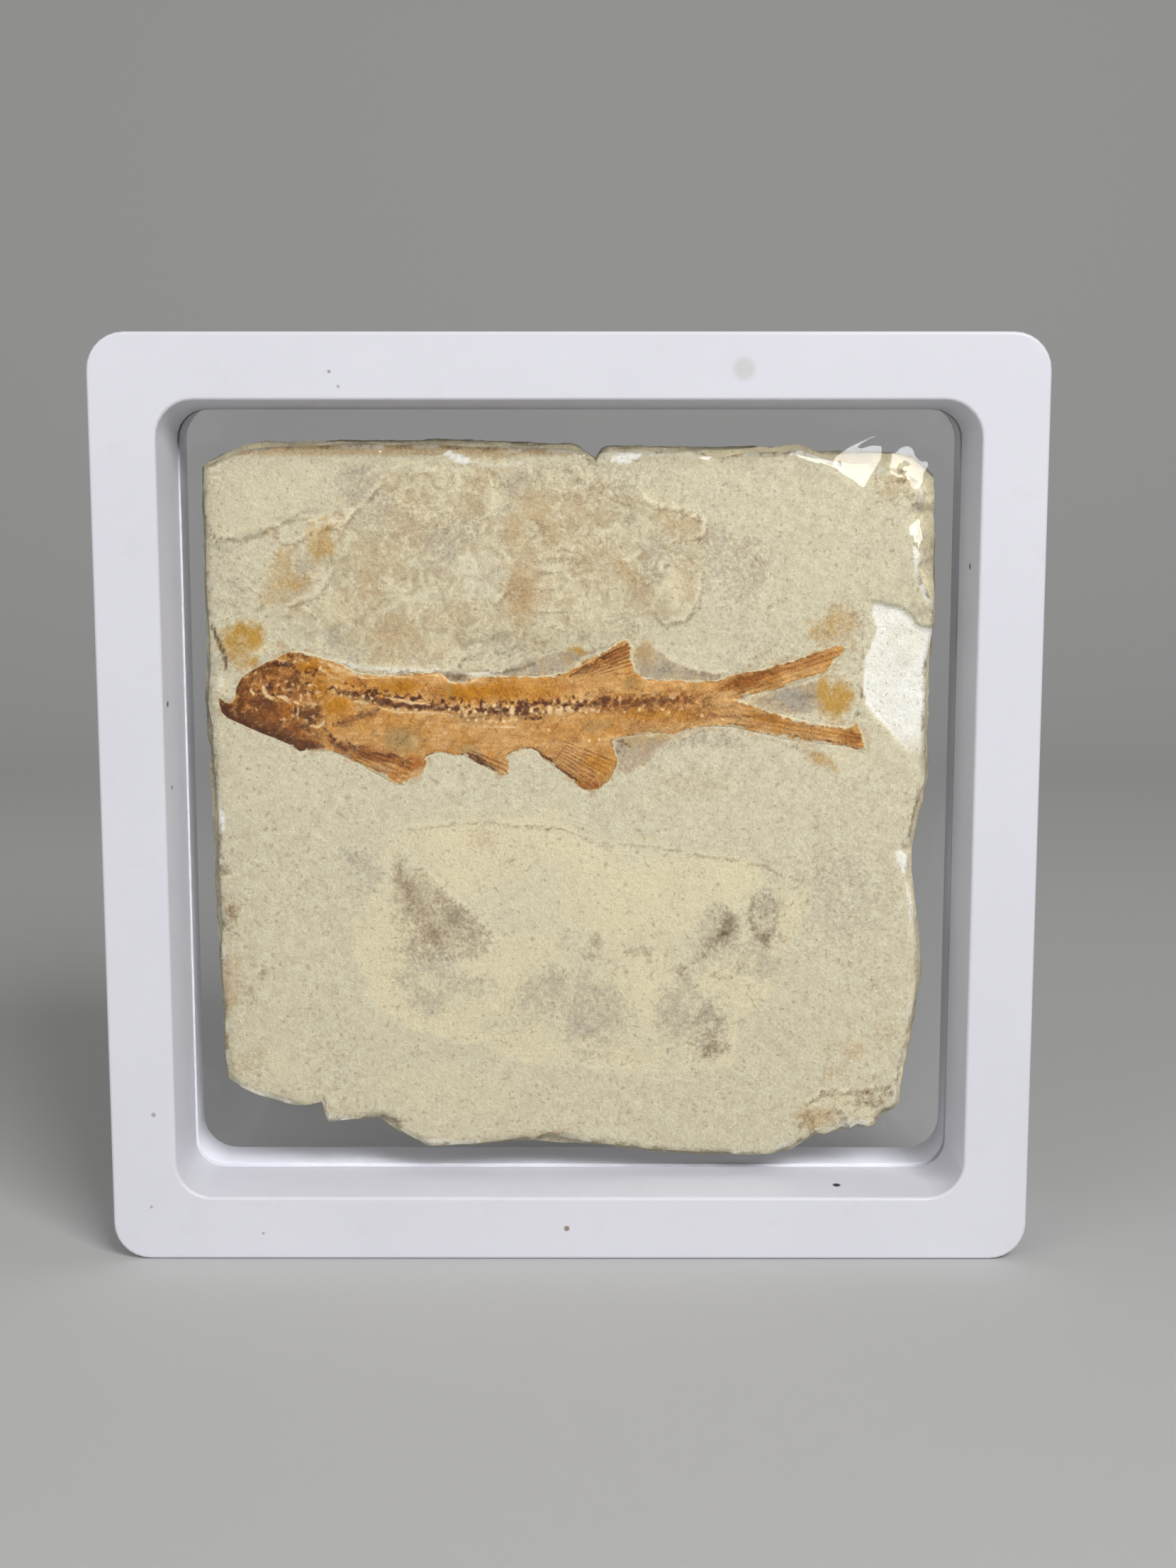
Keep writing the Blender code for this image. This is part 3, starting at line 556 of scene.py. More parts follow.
# %% Slab outlines
FACE_OUTLINE = [
    (-42.9, 39.6), (-41.2, 40.4), (-39.4, 41.1), (-37.6, 41.7), (-35.5, 42), (-30.8, 42.1),
    (-25.4, 42.3), (-20.2, 42.2), (-15.2, 42.3), (-12, 42), (-9.2, 42), (-4, 41.8), (0.2, 41.7),
    (1.6, 41), (3.1, 40.2), (3.6, 41.3), (5.4, 41.5), (8.7, 41.4), (12.2, 41.5), (15.4, 41.4),
    (16.4, 40.9), (17.9, 40.7), (19.4, 41.1), (21.2, 41.4), (25.4, 41.4), (26.8, 41.7),
    (28.2, 41.2), (29.6, 40.7), (31.4, 40.2), (33.4, 39.9), (36.2, 39.7), (39.2, 39.2), (41, 38),
    (41.9, 36.6), (41.5, 35), (40.7, 33.4), (41.2, 31), (41.8, 29.2), (41, 28), (41.6, 26.6),
    (42.3, 25.2), (43, 23.8), (43.3, 22.2), (43.1, 20), (42.6, 17.2), (42.5, 12.6), (42.4, 8.3),
    (42.7, 5), (42.6, 2.2), (42, 0.4), (41.5, -1.7), (41.2, -3.8), (41, -5.4), (40.3, -5.9),
    (40.9, -6.8), (40.6, -8.3), (40.8, -9.8), (41.4, -11.5), (41.9, -16), (42.3, -20.5),
    (41.9, -24.6), (41.4, -28.1), (40.8, -31), (40.3, -33), (40.1, -35.4), (39.9, -37.6),
    (39.2, -38.3), (38, -38.9), (37.6, -39.6), (37.5, -40.4), (36.4, -40.6), (35.4, -40.2),
    (34.5, -40.8), (33.2, -40.7), (32.1, -41.2), (31.2, -41.6), (30.5, -41.3), (29.6, -41.6),
    (28.9, -42.3), (28.1, -42.2), (27.4, -43), (26.5, -43.4), (24.6, -44.1), (22, -44.2),
    (18, -44), (14, -43.7), (10.2, -43.5), (6.4, -43), (2.9, -42.6), (0.4, -42.3), (-2.6, -41.4),
    (-4.6, -42.2), (-6.2, -42), (-9.2, -42.5), (-11.8, -42.8), (-15, -43), (-17.4, -43),
    (-19.2, -42.2), (-21, -40.9), (-21.2, -39.8), (-22.6, -39.3), (-24.6, -39.5), (-27.2, -39.7),
    (-29.7, -40.1), (-30.2, -38.8), (-30.4, -37.4), (-32, -37.8), (-33.5, -38), (-35.8, -37.4),
    (-38.2, -36.6), (-40.2, -35.7), (-41.9, -34.6), (-42.2, -31), (-42.1, -25.4), (-42.4, -20),
    (-42.2, -15.2), (-42.4, -8.9), (-42.3, -2), (-42.7, 5), (-42.8, 9), (-43.2, 11.7),
    (-42.9, 15.6), (-42.8, 19.6), (-43.1, 26), (-42.9, 33.1), (-43.1, 37)]
CORE_OUTLINE = [
    (-43.3, 40), (-39.2, 41.7), (-36, 42.5), (-25.4, 42.7), (-15.2, 42.7), (-9.2, 42.5),
    (0.4, 42.2), (3.2, 40.5), (3.9, 42), (8.7, 42), (15.6, 41.9), (17.9, 41.8), (21.2, 41.9),
    (27, 42), (29.6, 41.4), (36.8, 41.3), (42.6, 40.7), (43.2, 38), (43.2, 29.2), (43.6, 22),
    (43.1, 17.2), (42.9, 8.3), (43.1, 2.6), (41.9, -1.7), (41.4, -5.6), (41.1, -8.3),
    (41.8, -11.5), (42.7, -20.5), (41.9, -28.1), (40.8, -34.3), (40.5, -38.1), (38, -39.7),
    (37.6, -40.7), (33.2, -41.1), (29.5, -42.2), (26.7, -43.8), (22, -44.6), (11.6, -43.9),
    (2.9, -43), (-6, -42.4), (-11.8, -43.1), (-17.6, -43.4), (-21.2, -41.4), (-23.6, -39.8),
    (-29.9, -40.4), (-30.6, -37.8), (-33.5, -38.3), (-38.2, -37), (-42.2, -34.9), (-42.6, -25.4),
    (-42.8, -8.9), (-43.1, 5), (-43.5, 11.7), (-43.2, 19.6), (-43.4, 33.1)]
CORNERS = [(-42.9, 39.6), (41.9, 36.6), (39.9, -37.6), (-41.9, -34.6)]
FACE_OUT = 3.0
BACK_OUT = -3.0
print(len(FACE_OUTLINE), "points round the face and", len(CORE_OUTLINE), "round the core")

# %% [markdown]
# The face carries low relief that was worked out before the mesh: the thin upper bed that
# still covers the upper left, the ledge where a flake came off beyond the tail, the step
# round the cream patch, the hollow under the fish, and the chipped rim.

# %% Relief of the stone face
UPPER_BED = [
    (-44, 30.4), (-41.6, 30.7), (-38.6, 31.7), (-36.2, 32.3), (-34.8, 33.4), (-32.2, 33.8),
    (-29.8, 34.8), (-28.2, 36.4), (-27.4, 38.2), (-24.6, 39.4), (-22.4, 41), (-21.6, 44),
    (-44, 44)]
FLAKED_LEDGE = [
    (36, 23.9), (39.4, 23.1), (40.7, 22.2), (41.5, 21), (45, 20.6), (45, -1), (42.3, -0.6),
    (41.7, 3.3), (40.6, 6), (39, 7.6), (37.8, 9.1), (36.4, 10.2), (35.4, 11.8), (35, 14),
    (35.2, 17), (36, 19), (36.4, 21), (35.8, 22.6)]
ROUGH_GROUND = [
    (-36, 24), (-33, 31), (-29, 34.6), (-24, 38.8), (-16, 40.4), (0, 40.2), (8, 37.4),
    (15.4, 34.4), (16, 28), (14.8, 22.4), (9, 20), (2, 18.6), (-8, 17), (-20, 16.6), (-30, 18.4)]
CREAM_PATCH = [
    (-22, -3.4), (-16, -2.2), (-9, -1.6), (-3, -1.6), (0, -2.3), (2, -3.7), (4.2, -4.8), (11, -5),
    (14, -6.2), (18, -6.2), (22.8, -7.1), (24.2, -9), (28.2, -10), (29.4, -12), (28.4, -15.2),
    (25.6, -19.4), (24.8, -24), (21, -27), (20.6, -32.2), (12, -34), (2, -33), (-6, -32.4),
    (-14, -29.6), (-20, -27.4), (-24.4, -24.8), (-26.2, -18), (-25.2, -13), (-22.6, -9.6)]
SCAR = [
    (-8.6, 40.4), (0.6, 38.6), (8.4, 36.2), (12, 34.9), (14.8, 34.3), (15.9, 33.6), (15.2, 31.4),
    (15.8, 28), (15.3, 23.8), (14.5, 22.3), (13.4, 21.4), (10.6, 21), (4, 19.6), (-4, 20.4),
    (-12, 19.2), (-20, 20), (-27, 24), (-29.6, 31), (-26, 35.6), (-18, 39.2)]
FISH_OUTLINE = [
    (-42, 12.3), (-41.6, 10.7), (-41, 10.1), (-40, 9.6), (-39, 9.1), (-38, 8.6), (-37, 8.2),
    (-36, 7.8), (-35, 7.4), (-34, 7), (-33, 6.5), (-32.4, 6), (-31.5, 6.1), (-30.5, 5.9),
    (-28.6, 6), (-27.4, 5.5), (-26.2, 4.9), (-25, 4.4), (-23.8, 3.6), (-22.2, 2.7), (-21, 2),
    (-20, 1.8), (-19.4, 2.3), (-18.3, 2.9), (-17.6, 3.4), (-17.2, 4.4), (-17.1, 5.4),
    (-16.4, 5.7), (-15.4, 5.9), (-14, 5.5), (-12.7, 5.5), (-11.9, 4.9), (-10.8, 4.4), (-9.6, 3.8),
    (-8.3, 3.1), (-7.4, 3.2), (-7.1, 3.9), (-7.3, 4.7), (-7.6, 5.4), (-6.9, 5.9), (-5.6, 6.2),
    (-4.6, 6.3), (-3.8, 5.9), (-3.2, 5), (-2.3, 4.4), (-1.2, 3.7), (0, 2.8), (1, 1.8), (2, 1.2),
    (2.8, 1), (3.5, 1.3), (4.5, 2.1), (5.1, 3), (5.6, 4), (5.8, 5), (5.5, 6), (5, 7.2), (7, 7.8),
    (9.6, 8.1), (12.8, 7.9), (13.6, 8.4), (16, 9), (19.5, 9), (22.5, 8.3), (25.5, 7.5), (29, 7),
    (33, 6.6), (34.5, 6.2), (35.6, 6.2), (35.1, 8.2), (34.2, 10), (33.4, 8.8), (31.5, 9.1),
    (29, 9.6), (27, 10), (24, 10.7), (22, 11.4), (20.2, 12.1), (21.5, 12.8), (24.5, 13.4),
    (27.5, 14.3), (30.2, 15.2), (31.4, 16.2), (32.2, 17.2), (33.2, 18.5), (32, 18.8), (30, 18.3),
    (27, 17.1), (24, 16.2), (21, 15.5), (19.5, 15.2), (17.5, 14.5), (14, 14.5), (10.4, 14.5),
    (8.6, 15), (7.9, 15.6), (7.5, 17), (7.6, 18.4), (7, 19.5), (6.4, 19.4), (5, 18.6), (4, 17.9),
    (3, 17.4), (1.7, 16.8), (0.5, 16), (-0.9, 15.3), (-4, 15), (-8, 15), (-11, 14.9),
    (-12.2, 14.5), (-12.9, 14.1), (-14.3, 14.4), (-15.2, 15.3), (-17, 15.5), (-20, 15.2),
    (-24, 15.2), (-25.6, 15.6), (-27.4, 16.6), (-30, 17.5), (-31.4, 17.9), (-32.4, 18.1),
    (-33.4, 17.9), (-35.2, 17), (-36.2, 16.6), (-37.2, 16), (-38.2, 15.4), (-39.1, 14.8),
    (-39.8, 13.6), (-40, 12.2), (-40.6, 11.7), (-41.2, 11.9), (-41.7, 12.5)]
FISH_HOLLOW = 0.45


def swell(x, z):
    """The broad waves of the whole face, in mm."""
    return 0.10 * cloud(x, z, 24.0, 1, 3)


def stone_relief(x, z):
    """Height of the stone over its face plane, in mm, without the rim."""
    wx, wz = wander(x, z, 0.35, 2.4, 11)
    height = swell(x, z) + 0.035 * cloud(x, z, 3.2, 2)
    height += 0.020 * cloud(x, z, 0.9, 3, 3)
    height += 0.22 * zone(wx, wz, UPPER_BED, 0.18)
    height += 0.10 * zone(wx, wz, SCAR, 0.25) - 0.06 * zone(wx, wz, CREAM_PATCH, 0.3)
    ledge = zone(x + 0.15 * cloud(x, z, 0.9, 5, 3), z, FLAKED_LEDGE, 0.2)
    height -= ledge * (0.38 + 0.06 * cloud(x, z, 1.8, 6))
    return height + 0.03 * cloud(x * 0.4, z, 1.4, 8, 3) * zone(wx, wz, ROUGH_GROUND, 1.6)


def stone_hollow(x, z):
    """How deep the stone is under the fish, in mm."""
    return FISH_HOLLOW * ramp(depth_inside(x, z, FISH_OUTLINE), 0.1, 0.9)


print("the fish outline has", len(FISH_OUTLINE), "points")

# %% [markdown]
# The slab starts as a flat blank. A grid is warped so that its border follows the face
# outline, its open edge is extruded back in many thin steps, one for each lamina that shows
# on the broken sides, and a coarser grid closes the back. The blank is then sculpted in one
# pass. A voxel remesh would round off the crisp broken edges, so the grid is kept.

# %% Slab blank
FACE_CELLS = 250
BACK_CELLS = 110
BACK_SHRINK = 0.985
BACK_GAP = 0.2
SIDE_DEPTHS = [
    0.1, 0.28, 0.45, 0.5, 0.8, 0.95, 1.05, 1.6, 2.2, 2.8, 3.4, 3.95, 4.05, 4.6, 5.2, 5.75, 6]


def resample(points, steps):
    """Cut a broken line into equal steps."""
    points = np.array(points, float)
    walked = np.concatenate([[0], np.cumsum(np.hypot(*np.diff(points, axis=0).T))])
    places = np.linspace(0, walked[-1], steps + 1)
    return np.stack([np.interp(places, walked, points[:, k]) for k in (0, 1)], axis=1)


def outline_sides(outline):
    """The four stretches of an outline between its corners, each from start to end."""
    starts = [outline.index(corner) for corner in CORNERS]
    ring = outline + outline
    sides = []
    for i, start in enumerate(starts):
        end = starts[(i + 1) % 4]
        if end <= start:
            end += len(outline)
        sides.append(ring[start:end + 1])
    return sides


def fill_outline(right, up, outline, cells):
    """Warp a unit grid so that its border follows the outline: a Coons patch."""
    top, east, bottom, west = [resample(side, cells) for side in outline_sides(outline)]
    bottom = bottom[::-1]
    east = east[::-1]
    column = np.rint(right * cells).astype(int)
    row = np.rint(up * cells).astype(int)
    u = right[:, None]
    v = up[:, None]
    across = (1 - v) * bottom[column] + v * top[column]
    upward = (1 - u) * west[row] + u * east[row]
    corners = ((1 - u) * (1 - v) * bottom[0] + u * (1 - v) * bottom[-1]
               + (1 - u) * v * top[0] + u * v * top[-1])
    placed = across + upward - corners
    return placed[:, 0], placed[:, 1]


face_blank = flat_grid("fossil_slab", FACE_CELLS, FACE_CELLS)
right, up = grid_shares(face_blank)
x, z = fill_outline(right, up, FACE_OUTLINE, FACE_CELLS)
write_points(face_blank, x, z, np.full(x.shape, FACE_OUT))
bpy.ops.object.mode_set(mode='EDIT')
bpy.ops.mesh.select_mode(type='EDGE')
bpy.ops.mesh.select_all(action='DESELECT')
bpy.ops.mesh.select_non_manifold()
for before, depth in zip([0.0] + SIDE_DEPTHS, SIDE_DEPTHS):
    bpy.ops.mesh.extrude_region_move(
        TRANSFORM_OT_translate={"value": (0, (depth - before) * MM, 0)})
bpy.ops.object.mode_set(mode='OBJECT')

back_blank = flat_grid("slab_back", BACK_CELLS, BACK_CELLS)
right, up = grid_shares(back_blank)
x, z = fill_outline(right, up, FACE_OUTLINE, BACK_CELLS)
write_points(back_blank, x * BACK_SHRINK, z * BACK_SHRINK, np.full(x.shape, BACK_OUT - BACK_GAP))
only(face_blank, back_blank)
bpy.ops.object.join()
slab = bpy.context.object
bpy.ops.object.mode_set(mode='EDIT')
bpy.ops.mesh.select_all(action='DESELECT')
bpy.ops.mesh.select_non_manifold()
bpy.ops.mesh.bridge_edge_loops()
bpy.ops.mesh.select_all(action='SELECT')
bpy.ops.mesh.normals_make_consistent(inside=False)
bpy.ops.object.mode_set(mode='OBJECT')
count(slab)

# %% [markdown]
# Sculpting the blank is like chipping it by hand. On the face every point gets its relief
# and the rim drops a little where it crumbled. On the sides each thin step moves out towards
# the core outline and in or out with its own lamina, which gives the stacked look of split
# shale. The back gets broader, rougher waves. At the upper right corner the real film shows
# three bright flat reflections. Three flat facets make them: the film will be lifted or
# lowered to them, and the stone is chipped here just far enough to stay clear of it.

# %% Slab sculpting
RIM_WIDTH = 0.8
STONE_SMOOTH = 55
CORNER_FACETS = [
    # outline, a point and its height over the middle plane, fall per mm up and to the right
    ([(34.3, 37.0), (33.3, 38.6), (31.8, 40.2), (33.2, 41.7), (36.2, 42.9), (37.4, 42.5),
      (37.3, 40.6), (35.9, 38.6)], (34.3, 37.2, 3.06), (0.27, 0.11)),
    ([(39.0, 42.4), (39.9, 43.1), (40.9, 42.6), (41.6, 41.0), (41.9, 39.0), (42.1, 37.6),
      (41.5, 36.7), (40.2, 36.8), (40.0, 38.2), (39.5, 40.0), (38.9, 41.4)],
     (40.3, 37.2, 3.05), (0.27, 0.14)),
    ([(41.0, 34.4), (41.9, 33.4), (42.2, 31.2), (41.9, 28.8), (40.7, 29.4), (39.7, 31.4),
      (39.9, 33.2)], (41.0, 29.4, 3.84), (0.25, 0.12))]
FILM_CLEARANCE = 0.20
FACET_EDGE = 0.15
STONE_BLEND = 1.2
REACH_DEPTHS = [0, 0.1, 0.45, 0.5, 0.8, 0.95, 3.95, 4.05, 5.75, 6]
REACH_SHARES = [0, 0.1, 0.2, 0.45, 0.55, 1, 1, 0.6, 0.3, -0.3]


def facet_surface(x, z, height, soft, gap=None):
    """Bring the film to its flat facets; with a gap, chip the stone to clear them."""
    for outline, (at_x, at_z, at_height), (upward, rightward) in CORNER_FACETS:
        plane = at_height - upward * (z - at_z) - rightward * (x - at_x)
        if gap is not None:
            plane = np.minimum(plane - gap, height)
        share = ramp(depth_inside(x, z, outline), -soft, FACET_EDGE)
        height = height + share * (plane - height)
    return height


def face_height(x, z):
    """The finished height of the stone face over its plane, in mm."""
    rim = ramp(depth_inside(x, z, FACE_OUTLINE), RIM_WIDTH, 0.0)
    chips = 0.10 + 0.30 * np.clip(cloud(x, z, 2.6, 21, 3), 0, 1)
    height = FACE_OUT + stone_relief(x, z) - rim * chips
    return facet_surface(x, z, height, STONE_BLEND, FILM_CLEARANCE) - FACE_OUT


def nearest_on(x, z, outline):
    """The nearest point on a clockwise closed outline, the way out there, and its place."""
    ring = list(outline) + [outline[0]]
    best = np.full(x.shape, FAR)
    found = np.zeros((5,) + x.shape)
    walked = 0.0
    for (x0, z0), (x1, z1) in zip(ring, ring[1:]):
        step = math.dist((x0, z0), (x1, z1))
        share = ((x - x0) * (x1 - x0) + (z - z0) * (z1 - z0)) / step ** 2
        share = np.clip(share, 0, 1)
        nx = x0 + share * (x1 - x0)
        nz = z0 + share * (z1 - z0)
        gap = np.hypot(x - nx, z - nz)
        nearer = gap < best
        best = np.where(nearer, gap, best)
        flat = np.ones(x.shape)
        here = (nx, nz, -(z1 - z0) / step * flat, (x1 - x0) / step * flat,
                walked + share * step)
        found = np.where(nearer, np.stack(here), found)
        walked += step
    return found


x, z, out = read_points(slab)
on_back = out < BACK_OUT - BACK_GAP / 2
on_face = out > FACE_OUT - 0.01
on_side = ~(on_back | on_face)
sink = (FACE_OUT - out)[on_side]

rim_out = FACE_OUT + face_height(x[on_side], z[on_side])
back_out = BACK_OUT + 0.15 * cloud(x[on_side], z[on_side], 9.0, 31)
_, _, out_x, out_z, walked = nearest_on(x[on_side], z[on_side], FACE_OUTLINE)
core_x, core_z, _, _, _ = nearest_on(x[on_side], z[on_side], CORE_OUTLINE)
reach = np.interp(sink, REACH_DEPTHS, REACH_SHARES)
lamina = 0.26 * cloud(walked / 10, sink, 0.55, 41, 3) + 0.07 * cloud(walked, sink, 0.6, 42, 2)
lamina *= ramp(sink, 0.0, 0.6)
side_x = x[on_side] + reach * (core_x - x[on_side]) + lamina * out_x
side_z = z[on_side] + reach * (core_z - z[on_side]) + lamina * out_z
side_out = rim_out + (back_out - rim_out) * sink / SIDE_DEPTHS[-1]

face_x = x[on_face]
face_z = z[on_face]
hollow = stone_hollow(face_x, face_z)
out[on_face] = FACE_OUT + face_height(face_x, face_z) - hollow
back_waves = 0.22 * cloud(x[on_back], z[on_back], 15.0, 32, 3)
back_waves += 0.16 * np.round(2.2 * cloud(x[on_back], z[on_back], 22.0, 33, 3)) / 2.2
out[on_back] = BACK_OUT + back_waves + 0.05 * cloud(x[on_back], z[on_back], 1.6, 34)
x[on_side] = side_x
z[on_side] = side_z
out[on_side] = side_out
write_points(slab, x, z, out)
print(on_face.sum(), "points on the face,", on_side.sum(), "on the sides")

# %% [markdown]
# The stone's marks are painted one by one, as a restorer would retouch it. Each list holds the
# strokes, spots or zones of one pigment, read off the photograph. A stroke is a width, a
# strength and its points. A spot is its middle, width, height, tilt and strength. A zone is a
# strength and an outline. The clouds loosen their edges, so that they look stained and not
# stamped. First come the stains: tan, ochre, cream and grey, and the brown smear.

# %% Stone marks: stains and warm patches
TAN_SPOTS = [
    (-10.5, 37.8, 5, 5, 0, 0.35), (-12, 34.5, 6, 4.5, -20, 0.35), (-6.2, 31.5, 3.6, 7, 8, 0.6),
    (-5.6, 25.5, 4.2, 9, -6, 0.9), (-3.4, 34.4, 3.4, 8, 30, 0.65), (-20.5, 19.8, 7, 6, -30, 0.6),
    (-22.5, 17.6, 4, 2.5, 0, 0.65), (-15.5, 17.6, 4, 2, 20, 0.45),
    (-23.4, 26.4, 3.6, 8, -10, 0.55), (2.9, 34.2, 5, 5, 0, 0.4), (2.5, 29, 7, 9, 20, 0.35),
    (6.9, 27, 8, 3, -50, 0.6), (13.1, 32.9, 6.8, 2.8, -20, 0.6), (-34.2, 18.6, 3.4, 1.1, 5, 0.65),
    (-19.2, 33.4, 6, 7, 0, 0.45), (-9.6, 41.2, 9, 1.3, -2, 0.55),
    (17.8, 41.3, 4.8, 1.1, -5, 0.85), (-39.3, -32.3, 5.6, 4.4, 20, 0.35),
    (33.2, -30.6, 6.5, 4.2, 0, 0.28), (35.2, -31, 1.6, 2.4, -30, 0.5),
    (38.6, -28.6, 5, 4, 0, 0.35), (30.2, -39.2, 5, 3, 0, 0.65), (36.8, -37, 6, 3.4, -10, 0.28),
    (32.6, -37.6, 5, 2.4, 0, 0.3), (38, 37.4, 5, 2.4, 0, 0.5), (-41, -14, 2.6, 4, 0, 0.5),
    (-41.2, -22.8, 3.2, 9, 0, 0.5), (-32.6, 26, 4, 6, 0, 0.35), (-14, 22.4, 7, 4, 20, 0.4),
    (19.8, 29.3, 8, 7, 0, 0.28), (24, 17.6, 9, 3, 15, 0.3), (-10.8, -4.2, 4.4, 4.4, 0, 0.35),
    (-2.4, -41.8, 4.4, 1, 0, 0.75), (14, 26, 2.6, 6, 0, 0.35), (30, 5, 4.4, 1.6, -35, 0.7),
    (32.4, 21.6, 4.4, 4.6, -40, 0.6), (9, 5.4, 3.6, 1.8, 35, 0.6), (-13.4, 15, 3, 1.2, 0, 0.9),
    (33.9, 18.9, 0.9, 1.8, 0, 0.7), (-34.6, 17.7, 3, 1, 15, 0.6), (-8, 13.6, 60, 11, 0, 0.22),
    (32.2, -33.8, 3.4, 3, 0, 0.34), (-35, 31.9, 1.8, 1.6, 0, 0.55), (20, 9, 30, 6, 0, 0.25),
    (15, 2, 13, 4.6, 0, 0.32)]
OCHRE_SPOTS = [
    (-39.1, 19.4, 5, 4.6, 30, 0.95), (-38, 16.9, 3.6, 2, 30, 0.7),
    (-34.2, 27.4, 3.2, 7.4, -10, 0.42), (-35.2, 24.6, 2.6, 3.6, -30, 0.36),
    (-32.2, 26.2, 4.4, 1.4, 20, 0.5), (-29.4, 31.2, 3, 5.4, -8, 0.6),
    (-28.8, 32.6, 3.6, 1.4, 10, 0.6), (30.5, 20.2, 4.4, 3.4, -10, 0.6),
    (32, 21.6, 3.6, 4, -30, 0.4), (31.4, 12.4, 5.4, 4.6, 0, 1), (0.4, 17.5, 3.4, 1.8, 20, 0.85),
    (9, 17.4, 2, 3.6, 0, 0.6), (30.3, 5.2, 3.4, 1.6, -30, 0.5), (7.4, 7.5, 3.6, 1.6, 10, 0.7),
    (10.8, 7.4, 3.6, 1.2, 15, 0.65), (29.6, -40.2, 3.4, 2.4, 0, 0.32), (34, -38, 7, 2.8, 0, 0.12),
    (33.4, -30.6, 3.6, 2.4, 0, 0.18), (39, 38.4, 3, 2, 0, 0.35)]
CREAM_STROKES = [
    (8, 0.4, [(-22, -35), (-15, -36), (-8, -37)]),
    (3.4, 0.8, [(-26, -15), (-24.4, -18), (-23.2, -22), (-21.6, -25.4), (-18, -27.6)]),
    (2.6, 0.8, [(-17, -27.8), (-12, -28.6), (-8, -30.4), (-3, -31.2)]),
    (1.2, 0.7, [(-12, -18.8), (-9.4, -20.4), (-8.4, -22.2)]),
    (1.2, 0.6, [(-14, -24.4), (-11, -25.8), (-7, -27)]), (1, 0.6, [(20.8, -12.4), (20.6, -17)]),
    (1, 0.5, [(18, -22.6), (15, -25.2)]),
    (0.5, 0.7, [(-21, -2.4), (-15, -1.2), (-8, -1), (-3, -1.2), (0, -2), (3, -4), (6, -4.9),
                (11, -4.8), (14.4, -5.8), (18, -5.8)]),
    (2, 0.5, [(-15, 15.9), (-10, 16.2), (-7, 15.9)]),
    (1.2, 1, [(-30, 18.4), (-27.6, 17.4), (-26, 16.4), (-22, 16.4), (-19, 16), (-15.6, 15.9)]),
    (0.9, 0.9, [(-14.8, 16.3), (-14, 17.4), (-13.2, 18.3)]),
    (2.6, 0.6, [(-17.4, 19.6), (-14.6, 18.6), (-12.8, 17)]),
    (1, 0.6, [(8.6, 14.9), (11.6, 14.9)]), (3.6, 0.6, [(-28.4, 24.4), (-26.4, 21.6)]),
    (0.7, 0.7, [(-4.8, 29.8), (-1, 29.2)]), (0.6, 0.6, [(-4.6, 28.4), (0.4, 28.2)]),
    (0.6, 0.6, [(-2.6, 32), (0.4, 30.6)]), (3, 0.7, [(12.4, 27.6), (12.9, 24)]),
    (0.5, 0.6, [(16.4, 31), (16, 26), (14.8, 22.8), (12.6, 21), (9.4, 20.4)]),
    (0.5, 0.8, [(-43, 31.6), (-38, 32.6), (-36.4, 33.2), (-33, 33.6), (-30, 33.4), (-28, 34.6),
                (-25.6, 36.8)]),
    (0.4, 0.8, [(-28.4, 40.3), (-24, 40.1), (-19.2, 40.2), (-15.6, 40.8), (-12, 40.4), (-6, 40.5),
                (0, 40.6)]), (0.8, 0.9, [(20.6, 12.3), (22.2, 12), (24.2, 11.2), (26.4, 10.6)]),
    (0.9, 0.8, [(29.2, 10.3), (30.6, 10.2), (31.6, 9.8)]),
    (0.7, 0.8, [(21, 12.9), (24, 12.8), (27, 13.6), (29.4, 14.6)]),
    (1.4, 0.7, [(32, 5), (33.6, 5.3)]), (0.9, 0.6, [(14, 8.2), (17, 8.5), (20.6, 8.2)]),
    (1, 0.7, [(-7.2, 5.4), (-5.6, 6), (-4.2, 5.8)]), (1.6, 0.5, [(-36.2, -31), (-35.2, -34)]),
    (2.6, 0.6, [(29, -38), (33, -37.4), (37, -38.4)]),
    (0.7, 1, [(8.9, 14.9), (12, 14.8), (15.8, 14.95), (19, 15.1)]),
    (1.4, 0.9, [(-37.2, 18.4), (-36.2, 18.7)]), (0.6, 0.8, [(-38.9, 15.6), (-38, 16.3)]),
    (1.6, 0.8, [(-41.4, 14.8), (-41, 12.8)]), (1, 0.8, [(7.8, 18.2), (8.2, 16.4)]),
    (0.8, 0.8, [(20.6, 12.5), (23, 12), (26, 11), (29.4, 10.4)])]
GREY_ZONES = [
    (0.7, [(-8, 15.7), (-5, 16.9), (-3, 17.4), (-1, 18), (0.2, 18.3), (2, 17.7), (0.5, 16.3),
           (-1, 15.5), (-4, 15.2), (-8, 15.1)]),
    (0.62, [(8, 18.6), (9.5, 18.9), (10.3, 18), (11.5, 17.2), (13, 16.5), (14.4, 15.8),
            (18, 15.2), (18, 14.4), (8.8, 14.6), (7.9, 16.5)]),
    (0.48, [(5.6, 7.6), (8, 7.7), (12, 7.8), (13.6, 8.2), (12, 7), (10.6, 6.2), (9.7, 5.4),
            (8.5, 4.4), (7.2, 3.4), (5.9, 3.3)]),
    (0.55, [(20.6, 12.2), (24, 12.9), (27, 13.9), (29.8, 14.4), (29.6, 11), (27, 10.4),
            (23.5, 11.2)])]
SMEAR = [
    (-21.6, -6.2), (-20, -6.4), (-17.4, -8.6), (-15, -11.2), (-12.4, -13.6), (-9.6, -16),
    (-8.8, -18), (-10.8, -19.4), (-14, -19.8), (-18, -20.4), (-21.6, -18.6), (-22.2, -14),
    (-21.4, -10.6)]
